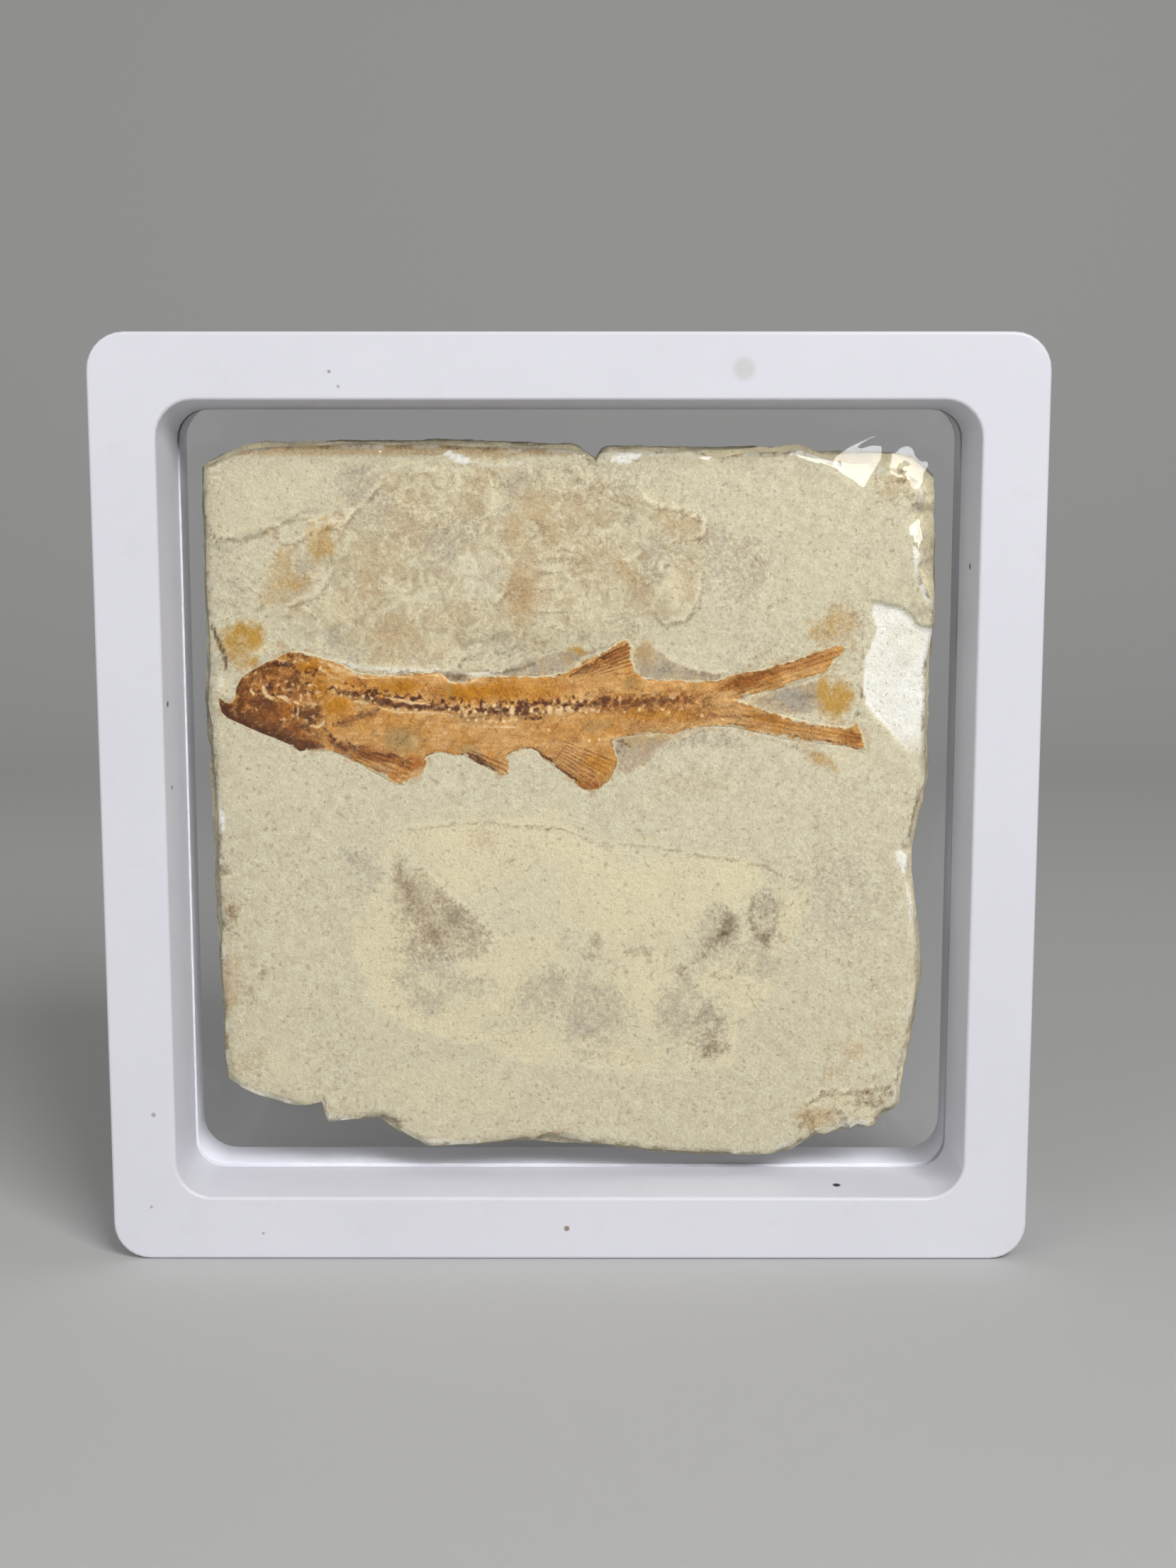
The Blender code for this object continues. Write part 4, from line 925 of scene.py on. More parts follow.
SMEAR_SPOTS = [
    (-16.4, -13.8, 15, 8.4, -48, 0.74), (-19, -11.6, 8, 3.6, -62, 0.85),
    (-16.6, -16, 6, 4.4, -30, 0.85), (-20.6, -8.4, 4, 2, -50, 0.75),
    (-12.4, -15.6, 8, 3, -42, 0.3), (-17.8, -17.8, 7, 4.6, -15, 0.5)]
SMEAR_STROKES = [
    (0.35, 0.85, [(-21.4, -6.6), (-19, -8.4), (-16.4, -11.2), (-13, -14.4), (-10, -17.2)]),
    (0.3, 0.7, [(-21, -8), (-18.8, -10.4), (-16.6, -13.4), (-15, -16.4)]),
    (0.3, 0.75, [(-20.9, -9.6), (-19.4, -12.4), (-17.2, -15.6)]),
    (0.3, 0.7, [(-20.7, -11.2), (-19.6, -14), (-18, -16.8)]),
    (0.28, 0.7, [(-20.4, -12.8), (-19, -15.4), (-17.4, -17.6)]),
    (0.28, 0.6, [(-20, -14.6), (-18.8, -16.6), (-17.6, -18.2)]),
    (0.28, 0.6, [(-20.2, -7.4), (-17.6, -10.4), (-14.8, -13.8), (-13, -16.6)]),
    (0.7, 0.6, [(-13.2, -13.8), (-11.4, -15.4), (-9.8, -16.6)])]
GREY_SPOTS = [
    (27.1, 12.2, 5.6, 2.8, -12, 1), (10.8, 15.8, 2.4, 1.6, 0, 0.85), (17.6, 7.6, 8, 2.4, 5, 0.5),
    (2.9, -26.6, 9, 10, 0, 0.56), (1.4, -22.8, 4, 5, 0, 0.45), (-3.1, -23.7, 7, 7, 0, 0.5),
    (-6, -27.4, 6, 3.4, 0, 0.3), (13.1, -26.1, 5.4, 10, 0, 0.54), (17, -28, 6, 8, 0, 0.5),
    (-17.4, -25, 6, 4.4, 0, 0.44), (-12.7, -22.8, 8, 4, -15, 0.42), (-27.9, -32.3, 5, 5, 0, 0.22),
    (-33.6, -14.2, 8, 6, 0, 0.2), (-25.4, -7.2, 6, 2.4, -20, 0.45),
    (-23.8, -9.2, 4.4, 4.8, 0, 0.38), (-12.6, -15.4, 9.6, 3.6, -42, 0.42),
    (-17.8, -19.4, 8, 4, -12, 0.5), (22.9, -19.4, 6, 6.4, 0, 0.52),
    (18.3, -16.6, 6.4, 8.6, -20, 0.52), (23.6, -14, 4.6, 7.4, 0, 0.48),
    (38, -22.8, 5, 8, 0, 0.25), (26.7, -29, 6, 6, 0, 0.22), (-24, 36.9, 8, 6, -30, 0.45),
    (-20, 33, 6, 6.6, 0, 0.28), (-15, 30.4, 4.4, 3, -40, 0.55), (-12.4, 33, 4, 5, 0, 0.4),
    (17.8, 30.4, 4, 5, 0, 0.45), (10.6, 32, 4, 2, 0, 0.3), (10, 29.6, 3, 3.4, 0, 0.5),
    (-28.2, 19.8, 2.6, 3.4, 20, 0.6), (-25.4, 16.8, 3.2, 1.2, -20, 0.5),
    (-28.6, 17.6, 3, 0.8, -12, 0.55), (-6, 38, 4, 2.6, 40, 0.5), (-39.4, 25.4, 5, 6, 0, 0.32),
    (-31.6, 28, 2.4, 3, 0, 0.5), (-8.4, 18.4, 6, 3, 0, 0.4), (-12.2, 17.6, 3, 2.4, 0, 0.35),
    (8, 7, 1.4, 1.2, 0, 0.7), (6.7, 5.8, 4, 2.8, 0, 0.6), (41.6, 35.4, 1.6, 3, 0, 0.5),
    (42, 22.6, 3, 2.4, 0, 0.6), (36.8, 17.4, 0.9, 1.4, 0, 0.35), (42, 7.6, 1, 1.4, 0, 0.45),
    (33, -12, 12, 14, 0, 0.36), (32, 1, 9, 5, -10, 0.22), (20, 27, 9, 10, 0, 0.36),
    (-5.6, 27.6, 3.6, 6, 0, 0.28), (36, 30, 7, 7, 0, 0.16), (-19.6, -22, 5, 4, 0, 0.42),
    (4, 38.6, 10, 4, -10, 0.3), (-41, 30, 2.4, 3, 0, 0.35)]
print(len(TAN_SPOTS + OCHRE_SPOTS), "warm spots,", len(GREY_SPOTS), "grey ones")

# %% [markdown]
# Dark marks are hairline cracks, painted shade at the feet of small steps and between crumbs,
# stains and loose grains. Chalk marks are fresh breaks along the rim, where the stone is almost
# white, and a few painted glints of the film along its top and right edges. At two corners the
# stone has crumbled, and there grains as fine as sand make it darker.

# %% Stone marks: dark lines, spots and chips
DARK_STROKES = [
    (0.6, 1, [(-42.5, 21), (-41.6, 18.9), (-41.1, 17.2), (-40.8, 15.3)]),
    (0.3, 0.5, [(-42.7, 33), (-41.8, 31.2), (-41, 29.2)]),
    (0.3, 0.5, [(12.4, 34.9), (14.2, 34.5), (15.4, 33.8), (16, 33)]),
    (0.3, 0.3, [(16, 28), (15.5, 24.8), (15, 23.6)]),
    (0.35, 0.4, [(15.2, 24.2), (14.4, 22.4), (13.4, 21.5), (11, 21.1)]),
    # This stroke and the spot at (-13.4, 15.1) are painted shade in the gap along the fish's back.
    (0.3, 0.45, [(-8.6, 15.6), (-10.6, 15.7), (-12.6, 15.8)]),
    (0.35, 0.6, [(-8, 14.9), (-5.4, 14.95), (-2.8, 15)]), (0.45, 0.6, [(5.4, 7.3), (7, 6.8)]),
    (0.4, 0.55, [(5.6, 6.7), (6.3, 6.3)]),
    (0.9, 0.45, [(22.4, -11.8), (21.7, -14.2), (22.6, -16.6), (23.8, -17.5)]),
    (0.7, 0.4, [(23.8, -10.9), (24.8, -12.3), (25, -14.7), (24.5, -17)]),
    (0.35, 0.45, [(1, 41.9), (2, 41.4), (3.1, 40.3)]),
    (0.28, 0.45, [(30.4, -36.3), (34, -36.2), (38, -35.4)]),
    (0.3, 0.4, [(0, -2.6), (2, -3.8), (3.2, -4.5)]),
    (0.25, 0.35, [(11.6, -5.1), (13.6, -6), (15, -5.9)]),
    (0.3, 0.35, [(24.6, -8.6), (27.8, -9.8), (29, -11.4)]),
    (0.35, 0.45, [(40, 35.2), (41.4, 35.6)]), (0.6, 0.45, [(-22.9, -39.4), (-21.3, -40.2)]),
    (0.4, 0.55, [(34.9, 13.6), (35.1, 12.2)]), (0.3, 0.35, [(-7.5, 37.2), (-5.4, 38.6)]),
    (0.25, 0.4, [(-30.4, 33.8), (-28.2, 33.6), (-27, 32.6)]),
    (0.3, 0.45, [(34.6, 22.6), (34.9, 18), (34.6, 15)]),
    (0.3, 0.65, [(-20.6, 15.7), (-18.6, 15.6)]),
    (0.35, 0.65, [(-10.8, 15.5), (-8.6, 15.4), (-6.4, 15.8), (-3.6, 16.6)]),
    (0.4, 0.5, [(0.8, 17.4), (3, 18), (5.4, 18.9)]),
    (0.3, 0.45, [(13.8, 15.4), (16, 15.4), (18.2, 15.2)]),
    (0.45, 0.75, [(5.4, 7.4), (6.4, 7.1), (7.4, 6.5)]), (0.35, 0.6, [(5.6, 6), (6.5, 5.4)]),
    (0.3, 0.45, [(21.6, 12.6), (24, 12.2), (26, 12.1)]), (0.3, 0.4, [(24.4, 11.8), (26, 11.4)]),
    (0.9, 0.45, [(26.4, 12.9), (29.4, 12.6)])]
DARK_SPOTS = [
    (-34.6, 32, 0.9, 1.3, 0, 0.55), (39, 38.1, 1.4, 0.8, 0, 0.8),
    (18.8, -15.6, 4.8, 2.6, 55, 0.55), (17.4, -17.5, 2.8, 1.8, 50, 0.5),
    (18.6, -16.2, 2, 1.4, 30, 0.75), (16.4, -19, 2, 1.3, 40, 0.35),
    (18.3, -13.5, 1.6, 2.6, 0, 0.32), (23.8, -16.8, 1.9, 1.7, 0, 0.62),
    (23.3, -13.7, 2.4, 3.2, 0, 0.3), (25.7, -17, 1.6, 1.6, 0, 0.3), (3.1, -17, 1.8, 2.6, 0, 0.45),
    (2.6, -19.2, 2.2, 1.3, 0, 0.32), (7.6, -18.7, 2.8, 1, 0, 0.36),
    (9.3, -18.7, 1.5, 1.7, 0, 0.42), (9.5, -19.8, 1.1, 0.9, 0, 0.42),
    (13.8, -21.1, 1.3, 2, 0, 0.42), (17.6, -21.3, 1.3, 1.1, 0, 0.36),
    (19.5, -21.8, 1.1, 0.8, 0, 0.34), (21, -20.4, 2.6, 1.3, 0, 0.25),
    (16.9, -26.6, 3.2, 2.6, 0, 0.34), (18.3, -27, 1.7, 1.1, 0, 0.36), (16.7, -29, 3.2, 2, 0, 0.4),
    (17.6, -30.6, 3.2, 1.7, 0, 0.6), (16.9, -31.3, 1.6, 0.9, 0, 0.5),
    (19, -29.9, 1.5, 1.7, 0, 0.36), (14.8, -29.9, 1.3, 1.3, 0, 0.32),
    (-0.8, -20.9, 0.6, 0.7, 0, 0.6), (-3.4, -18.8, 0.5, 0.5, 0, 0.4),
    (-41.5, -8.3, 1.3, 1.5, 0, 0.6), (-41.8, -6.2, 0.9, 0.7, 0, 0.35),
    (-40.9, -13.8, 1.6, 2.2, 0, 0.5), (-41.3, -15.7, 0.6, 0.6, 0, 0.6),
    (-40.5, -16.3, 0.6, 0.5, 0, 0.55), (-41.3, -12, 0.7, 1.2, 0, 0.45),
    (-34.5, -26.6, 0.35, 0.4, 0, 0.8), (32.3, -35.9, 1.5, 0.5, -10, 0.75),
    (-37.4, -21.2, 1.1, 1.9, 0, 0.48), (-38.2, -20.2, 1.3, 0.7, 0, 0.38),
    (-38.9, -24.2, 1.4, 2.8, 20, 0.3), (37.6, -36.4, 2.8, 1.4, 20, 0.32),
    (29, -39, 1.4, 0.8, 20, 0.5), (38.4, -38.7, 2, 1, 20, 0.6), (36.6, -36, 3.8, 1.2, 8, 0.48),
    (35.4, -37.6, 1.2, 2, 0, 0.5), (37.4, -37.6, 1.6, 1.4, 0, 0.5), (29.2, -39.9, 1, 1.6, 0, 0.4),
    (28.2, -40.6, 1.1, 1.1, 0, 0.45), (3.6, 31, 0.5, 0.7, 0, 0.5), (11.3, 28.2, 0.7, 0.5, 0, 0.5),
    (-7.8, 32.2, 1, 0.8, 0, 0.35), (-14.6, 32.2, 1.4, 1, 0, 0.4), (-38.6, 4, 0.4, 0.4, 0, 0.55),
    (8, -1.9, 0.8, 0.3, 0, 0.4), (23.8, -7.6, 0.6, 0.7, 0, 0.45), (-4.7, 16.4, 0.4, 0.3, 0, 0.45),
    (26.7, -33, 0.5, 0.4, 0, 0.5), (28.4, 24.6, 1.2, 0.5, 40, 0.4), (27, 6.6, 0.7, 0.6, 0, 0.65),
    (34.4, 10.5, 0.5, 0.6, 0, 0.8), (34.9, 12.6, 0.5, 0.7, 0, 0.85),
    # The first spot on the next line is painted shade in the gap along the fish's back.
    (-13.4, 15.1, 2.8, 1, 0, 0.75), (30.3, 20.4, 1.6, 2.2, 0, 0.32),
    (27.1, 6.6, 0.8, 0.5, 0, 0.6), (18.8, 6.9, 0.9, 0.7, 0, 0.32), (22.1, 4.2, 0.7, 0.6, 0, 0.32),
    (26, 17.2, 0.9, 0.5, 0, 0.4), (28.2, 12.2, 2.6, 1.8, -10, 0.3),
    # The spots from (38.3, -35.8) to the end of the list are painted shadows between crumbs.
    (11.4, 15.8, 1.4, 0.9, 0, 0.3), (38.3, -35.8, 0.6, 0.5, 0, 0.9),
    (39, -35.6, 0.6, 0.4, 0, 0.9), (38.7, -36.4, 0.5, 0.5, 0, 0.85),
    (37.8, -36, 0.6, 0.4, 0, 0.85), (37.1, -36.1, 0.5, 0.4, 0, 0.8),
    (36.4, -36.3, 0.5, 0.4, 0, 0.75), (39.5, -36.4, 0.5, 0.5, 0, 0.8),
    (35.8, -37, 0.6, 0.4, -40, 0.8), (36.3, -37.5, 0.6, 0.4, -40, 0.85),
    (36.9, -38, 0.6, 0.5, -40, 0.9), (37.5, -38.3, 0.5, 0.4, 0, 0.8),
    (38.2, -37.4, 0.6, 0.5, 0, 0.75), (38, -36.9, 0.4, 0.4, 0, 0.8),
    (31, -36.1, 0.6, 0.4, 0, 0.8)]
CHALK_AND_GLINT_STROKES = [
    (5.4, 0.22, [(-12.2, 28.8), (-10.4, 27.4), (-9.8, 25.2)]),
    # The next stroke is a painted glint of the film on the top edge.
    (0.9, 1, [(-14.6, 41.4), (-13.6, 40.9), (-12.4, 40.4), (-11.8, 40.4)]),
    (0.5, 0.4, [(-11.6, 40.2), (-8, 40), (-4.6, 40.2)]),
    (1.3, 1, [(5.2, 40.5), (6.8, 40.8), (8.2, 41)]),
    # The next two strokes are painted glints of the film along the top and right edges.
    (0.8, 1, [(26, 41.4), (27.2, 41.6), (28.8, 41), (30.8, 40.6), (32.2, 39.9)]),
    (0.7, 0.9, [(40.9, 30.4), (41.3, 27.2), (42, 25.4), (42.8, 23.6)]),
    (1.1, 1, [(39.3, -6.2), (40.2, -7.2), (40.5, -8.8)]),
    (0.5, 0.6, [(40.7, -10), (41.2, -12), (41.6, -16)]),
    (0.7, 0.5, [(41.6, -24.8), (41.5, -27.6)]), (0.8, 0.5, [(40.4, -32.4), (40, -37.4)]),
    (0.6, 0.6, [(-40.4, -35.6), (-37, -36.8), (-33.6, -37.8)]),
    (0.6, 0.7, [(-23.4, -39.9), (-21.4, -41), (-19.4, -42)]),
    (0.9, 0.5, [(-18.6, -42.3), (-14, -42.8), (-11, -42.6)]),
    (0.8, 0.6, [(-30, -39), (-29.6, -39.9), (-27, -39.6)]),
    (0.8, 0.9, [(-42, -1.2), (-41.9, -4)]), (0.5, 0.6, [(-42.3, -17.6), (-42.2, -20)]),
    (1, 0.5, [(36.8, -40), (33, -40.4)]), (0.9, 0.5, [(26.6, -42.6), (25.4, -43.6)]),
    (0.7, 0.5, [(-41.4, 15), (-41.9, 13.2)]),
    (0.5, 0.6, [(-29.4, 17.5), (-27, 16.6), (-24.4, 15.9), (-20, 15.7), (-16, 15.8),
                (-13.8, 15.3), (-11, 15.3), (-8, 15.5)])]
CRUMBLED_CORNER = [(27, -44), (28.4, -38.6), (31, -36.4), (41, -35), (41, -44)]
PITTED_CORNER = [(35.6, 40.5), (36.2, 35), (38.6, 32.6), (42, 33.6), (42.2, 40.4)]
print(len(DARK_STROKES + DARK_SPOTS), "dark marks and", len(CHALK_AND_GLINT_STROKES), "chalk strokes")

# %% [markdown]
# Creases are the low crumpled edges that catch the light, most of them on the rough ground.
# Each one is painted twice: a pale crest, which is a painted highlight, and a dark foot just
# below it and to its right, which is painted shade.

# %% Stone marks: creases
CREASES = [
    (0.56, 0.9, [(-42.7, 32.3), (-41.1, 31.8), (-38.9, 31.5), (-37.1, 32.3), (-34.7, 33.2),
                 (-32.9, 33.9), (-30.8, 34.1)]),
    (0.56, 0.9, [(-34.4, 31.2), (-32.9, 31.2), (-31.4, 31.7), (-30.3, 32.6), (-29.2, 33.4),
                 (-28, 33.7), (-26.8, 33.2), (-25.9, 34.4), (-23.8, 36.2), (-22.6, 37.5),
                 (-21.7, 39)]),
    (0.72, 0.8, [(-28.6, 27.1), (-29.8, 25.1), (-31.7, 24.4), (-33.4, 23.6)]),
    (0.64, 0.9, [(-30.8, 17.5), (-27.5, 16.8), (-24.5, 16.3), (-21.5, 15.9), (-17, 15.7),
                 (-13.8, 16.1), (-13.2, 17.1), (-11.5, 18.6), (-10.5, 18.9)]),
    (0.56, 0.7, [(-12.5, 17.2), (-10.8, 18.3), (-8.5, 18.5), (-6.7, 17.6)]),
    (0.48, 0.8, [(-5.3, 23.3), (-2.8, 23), (-0.5, 23.2)]),
    (0.56, 0.7, [(-5.4, 29), (-3.2, 29.3), (0.7, 29.5)]),
    (0.48, 0.7, [(-5, 25.6), (-3.2, 25.6), (-1, 26)]),
    (0.48, 0.7, [(-5.2, 27.6), (-3, 27.9), (-1, 27.8)]),
    (0.56, 0.6, [(-4.5, 21.7), (-2.2, 21.4), (0, 20.5)]),
    (0.48, 0.6, [(-2.8, 18.9), (-1.2, 18.4), (0.4, 17.9)]),
    (0.48, 0.6, [(-6, 24.6), (-3.6, 24.5), (-1.6, 24.8)]),
    (0.56, 0.7, [(-8.6, 37.7), (-7.6, 38.2), (-6.3, 37.9), (-5.6, 36.8), (-5, 35.6)]),
    (0.64, 0.7, [(-9, 30.7), (-7.5, 29.5), (-7, 27.5), (-7.8, 25), (-9.2, 23.6)]),
    (0.4, 0.7, [(-11.8, 34.6), (-9.8, 32.8)]), (0.4, 0.7, [(-10.8, 33.4), (-9.2, 34.6)]),
    (0.48, 0.6, [(-41, 27.5), (-39, 26.8), (-37.2, 25.7), (-36.6, 24), (-38, 22.9),
                 (-40.5, 22.9)]),
    (0.48, 0.6, [(-24, 18.2), (-22.6, 19.2), (-21.3, 18.2), (-22.4, 17), (-23.8, 17.8)]),
    (0.64, 0.8, [(-30, 30.8), (-30, 32.2), (-28.6, 33.2), (-27, 32.6)]),
    (0.64, 0.9, [(6.5, 39.4), (9.2, 35.9), (11.4, 35.2), (13.8, 34.7), (15.9, 33.4), (15.7, 32),
                 (13.8, 31.3)]),
    (0.64, 0.8, [(15.4, 27.6), (15.4, 25.6), (15, 23.7), (13.8, 22.1), (11.1, 21.4)]),
    (0.56, 0.7, [(8.8, 30.2), (7.6, 29.2), (6.4, 28.9), (6, 30.2)]),
    (0.48, 0.7, [(6.2, 29.6), (7.4, 27.6), (8.6, 26)]),
    (0.48, 0.7, [(7.2, 29.4), (8.2, 27.8), (9.4, 26.2)]),
    (0.48, 0.6, [(5.2, 29), (6.4, 27), (7.6, 25.2)]),
    (0.48, 0.5, [(16.6, 33.6), (22.1, 33.2), (27.6, 32), (32.3, 27.9), (34.1, 23.7)]),
    (0.56, 0.8, [(10.4, 18.4), (12.4, 16.7), (16.1, 15.6), (19, 15.6)]),
    (0.56, 0.8, [(-20.8, -3.2), (-13.7, -2.4), (-9.4, -2.2), (-6.2, -2.7), (-0.8, -3),
                 (1.9, -4.1), (3.6, -5), (7.9, -4.9), (12, -5.5), (15.2, -6.2), (20.3, -6.9),
                 (24, -7.8), (27.2, -10.1), (28.6, -11.5), (27.6, -13.8)]),
    (0.56, 0.8, [(-20.6, -5.2), (-15.7, -10.1), (-11.4, -13.9), (-9.2, -16.6)]),
    (0.48, 0.6, [(21.8, -13), (22.6, -11.6), (24, -12.6), (24.4, -15), (23.2, -16.8)]),
    (0.48, 0.6, [(18, -13.4), (20, -14.2), (20.2, -16), (18.8, -18)]),
    (0.48, 0.5, [(5.4, 6), (7, 4.4), (9.8, 5.8), (12.6, 7.6), (16, 8.9), (20, 8.8)]),
    (0.48, 0.6, [(22, 8.2), (26, 7.2), (30, 5.8)]),
    (0.64, 1, [(28.8, -37.4), (31, -36), (34, -35.8), (38, -35.4)]),
    (0.48, 0.6, [(29.6, -38.8), (33, -38), (36.4, -39)]),
    (0.56, 0.5, [(33.2, -36.6), (36, -37.6), (38.8, -37)])]
# How far the painted shade at a crease's foot lies right of and below its crest, in mm
SHADE_FOOT_RIGHT = 0.24
SHADE_FOOT_DOWN = 0.50
print(len(CREASES), "creases")

# %% [markdown]
# Every pigment gets its own attribute, and where several marks of one pigment overlap the
# strongest counts. The face uses the listed marks. The broken sides and the back have no
# marks to follow, so there clouds stretched along the laminae tint them.

# %% Stone painting
def paint_face(x, z):
    """How much of each pigment covers each place of the stone face."""
    wx, wz = wander(x, z, 0.45, 1.6, 51)
    sx, sz = wander(x, z, 0.14, 0.7, 53)
    patch = cloud(x, z, 5.0, 55, 3)
    loose = np.clip(0.92 + 0.25 * cloud(x, z, 1.3, 56, 3), 0, 1.1)
    fray = 0.20 * cloud(x, z, 0.8, 50, 3)
    # Each crease gets a painted highlight on its crest and painted shade at its foot.
    crest = strokes(sx, sz, CREASES, 0.7, fray)
    foot_shade = strokes(sx - SHADE_FOOT_RIGHT, sz + SHADE_FOOT_DOWN, CREASES, 0.7, fray) * (1 - crest)
    ridges = cloud(x * 0.4, z + 0.25 * x, 1.3, 67, 3)
    rough = zone(wx, wz, ROUGH_GROUND, 1.2) * ramp(x, -14.0, -6.0)
    rim = ramp(depth_inside(x, z, FACE_OUTLINE), 0.75, 0.1)
    flakes = [zone(sx, sz, outline, 0.45) for _, outline in GREY_ZONES]
    cream = strongest(
        0.75 * zone(wx, wz, CREAM_PATCH, 1.0) * np.clip(0.85 + 0.45 * patch, 0, 1),
        strokes(wx, wz, CREAM_STROKES, 0.6, fray) * loose,
        0.22 * zone(wx, wz, UPPER_BED, 0.4),
        0.25 * ramp(patch, 0.0, 0.8),
        # the creases' crests: painted highlight
        crest * loose,
        0.5 * rough * ramp(ridges, 0.15, 0.8))
    grey = strongest(*[share * flake for (share, _), flake in zip(GREY_ZONES, flakes)])
    grey *= np.clip(0.9 + 0.5 * cloud(x, z, 1.0, 68, 3), 0.3, 1.1)
    grey = strongest(
        strongest(grey, spots(wx, wz, GREY_SPOTS, 0.7, fray)) * loose,
        0.18 * ramp(cloud(x, z, 7.0, 57), 0.1, 0.9))
    smear = zone(sx, sz, SMEAR, 0.35) * spots(wx, wz, SMEAR_SPOTS, 0.9, fray)
    smear = strongest(0.75 * smear * loose, strokes(sx, sz, SMEAR_STROKES, 0.9, fray) * 0.5)
    speckle = ramp(cloud(x, z, 0.9, 58), 0.35, 0.8)
    dark = strongest(
        strokes(sx, sz, DARK_STROKES, 0.8, fray),
        spots(sx, sz, DARK_SPOTS, 0.8, 1.4 * fray) * loose,
        # the creases' feet: painted shade
        0.52 * foot_shade * loose,
        0.25 * rough * ramp(ridges, -0.2, -0.8),
        0.45 * zone(wx, wz, CRUMBLED_CORNER, 0.8) * speckle,
        0.45 * zone(wx, wz, PITTED_CORNER, 0.6) * speckle,
        # the rim's dark patches: painted shade of the crumbled edge
        0.5 * rim * ramp(cloud(x, z, 1.5, 64, 3), -0.1, 0.5))
    # On the ledge the near-white is partly a fresh break and partly painted film glare.
    ledge = zone(x + 0.12 * cloud(x, z, 0.9, 59, 3), z, FLAKED_LEDGE, 0.12)
    chalk = strongest(
        ledge * (ramp(z, 3.0, 10.0) * (0.82 + 0.25 * cloud(x, z, 2.4, 65, 3))),
        strokes(sx, sz, CHALK_AND_GLINT_STROKES, 0.3),
        # the creases' crests again: painted highlight
        0.30 * crest * loose,
        # the rim's pale patches: partly fresh chips, partly painted glints
        0.5 * rim * ramp(cloud(x, z, 2.0, 60), 0.1, 0.6))
    top_edge = ramp(z, 40.6, 41.4) * ramp(x, 4.0, 0.0)
    band = ramp(z, 19, 23) * ramp(x, -31, -26) * ramp(x, 9, 3) * ramp(z, 40.5, 37)
    beside = ramp(depth_inside(x, z, FISH_OUTLINE), -1.1, -0.1)
    tan = strongest(
        spots(wx, wz, TAN_SPOTS, 0.8, fray) * loose,
        0.35 * band * ramp(cloud(x, z, 3.0, 61), -0.2, 0.7),
        0.7 * top_edge,
        0.85 * strongest(*flakes) * loose,
        0.55 * beside * ramp(cloud(x, z, 1.2, 66, 3), -0.3, 0.5))
    ochre = spots(wx, wz, OCHRE_SPOTS, 0.5, fray) * loose
    scar = 0.85 * zone(wx, wz, ROUGH_GROUND, 1.6)
    return {"cream": cream, "grey": grey, "dark": dark, "chalk": chalk, "tan": tan,
            "ochre": ochre, "scar": scar, "smear": smear}


layer = np.where(on_side, cloud(x + z, 4 * out, 6.0, 62), cloud(x, z, 7.0, 63))
elsewhere = {"cream": ramp(layer, 0.0, 0.6), "tan": 0.30 * ramp(layer, 0.1, -0.8),
             "grey": 0.3 * ramp(cloud(x, z, 5.0, 64), 0.1, 0.7), "scar": 0.5}
for name, values in paint_face(face_x, face_z).items():
    cover = np.zeros(x.shape) + elsewhere.get(name, 0.0)
    cover[on_face] = values
    store(slab, name, cover)
bpy.ops.object.shade_smooth_by_angle(angle=math.radians(STONE_SMOOTH))
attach(slab, "back_half")
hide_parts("slab")
count(slab)

# %% [markdown]
# A pigment list becomes a material by stacking Mix nodes: base colour first, then one layer
# per attribute. Every pigment is given as it looks on screen, and the screen's curve, the
# studio's light and the surface's sheen are taken off it. Fine noise on Object coordinates
# breaks each layer up below the size of the mesh cells, and the same noise roughens the
# surface through a Bump node.

# %% Pigment material
STUDIO_LIGHT = 1.42
SURFACE_SHEEN = 0.010
DARKEST = 0.002


def pigment(red, green, blue):
    """The surface colour that looks like this, from 0 to 255, on screen in the studio."""
    shares = [c / 255 for c in (red, green, blue)]
    seen = [c / 12.92 if c <= 0.04045 else ((c + 0.055) / 1.055) ** 2.4 for c in shares]
    return tuple(max((c - SURFACE_SHEEN) / STUDIO_LIGHT, DARKEST) for c in seen) + (1.0,)


def layered_colour(tree, base, layers, threshold):
    """Stack named pigments over a base; where the cover is thin, the grains break it up."""
    colour = base
    for name, paint, breakup in layers:
        cover = add_node(tree, "Attribute", {"attribute_name": name}).outputs["Fac"]
        lift = math_node(tree, 'MULTIPLY', threshold, -breakup)
        share = math_node(tree, 'MULTIPLY_ADD', cover, 1 + breakup, lift, clamp=True)
        colour = mix_colour(tree, share, colour, paint)
    return colour


shale, tree, shader = new_material("pale_shale", 0.9)
shader.inputs["Specular IOR Level"].default_value = 0.2
place = add_node(tree, "TexCoord").outputs["Object"]
coarse = grain(tree, place, 0.0016, 4.0, 0.62)
fine = grain(tree, place, 0.00040, 3.0, 0.7)
sand = grain(tree, place, 0.00018, 2.0, 0.7)
specks = grain(tree, place, 0.00055, 1.0, 0.5)
curls = grain(tree, place, 0.0021, 5.0, 0.66, 1.4)
threshold = stretch(tree, fine, 0.33, 0.67)
contrast = stretch(tree, coarse, 0.36, 0.64)
base = mix_colour(tree, contrast, pigment(200, 190, 162), pigment(210, 202, 174))
rough = stretch(tree, curls, 0.36, 0.62)
crumpled = mix_colour(tree, rough, pigment(174, 157, 125), pigment(216, 206, 175))
scarred = add_node(tree, "Attribute", {"attribute_name": "scar"}).outputs["Fac"]
base = mix_colour(tree, scarred, base, crumpled)
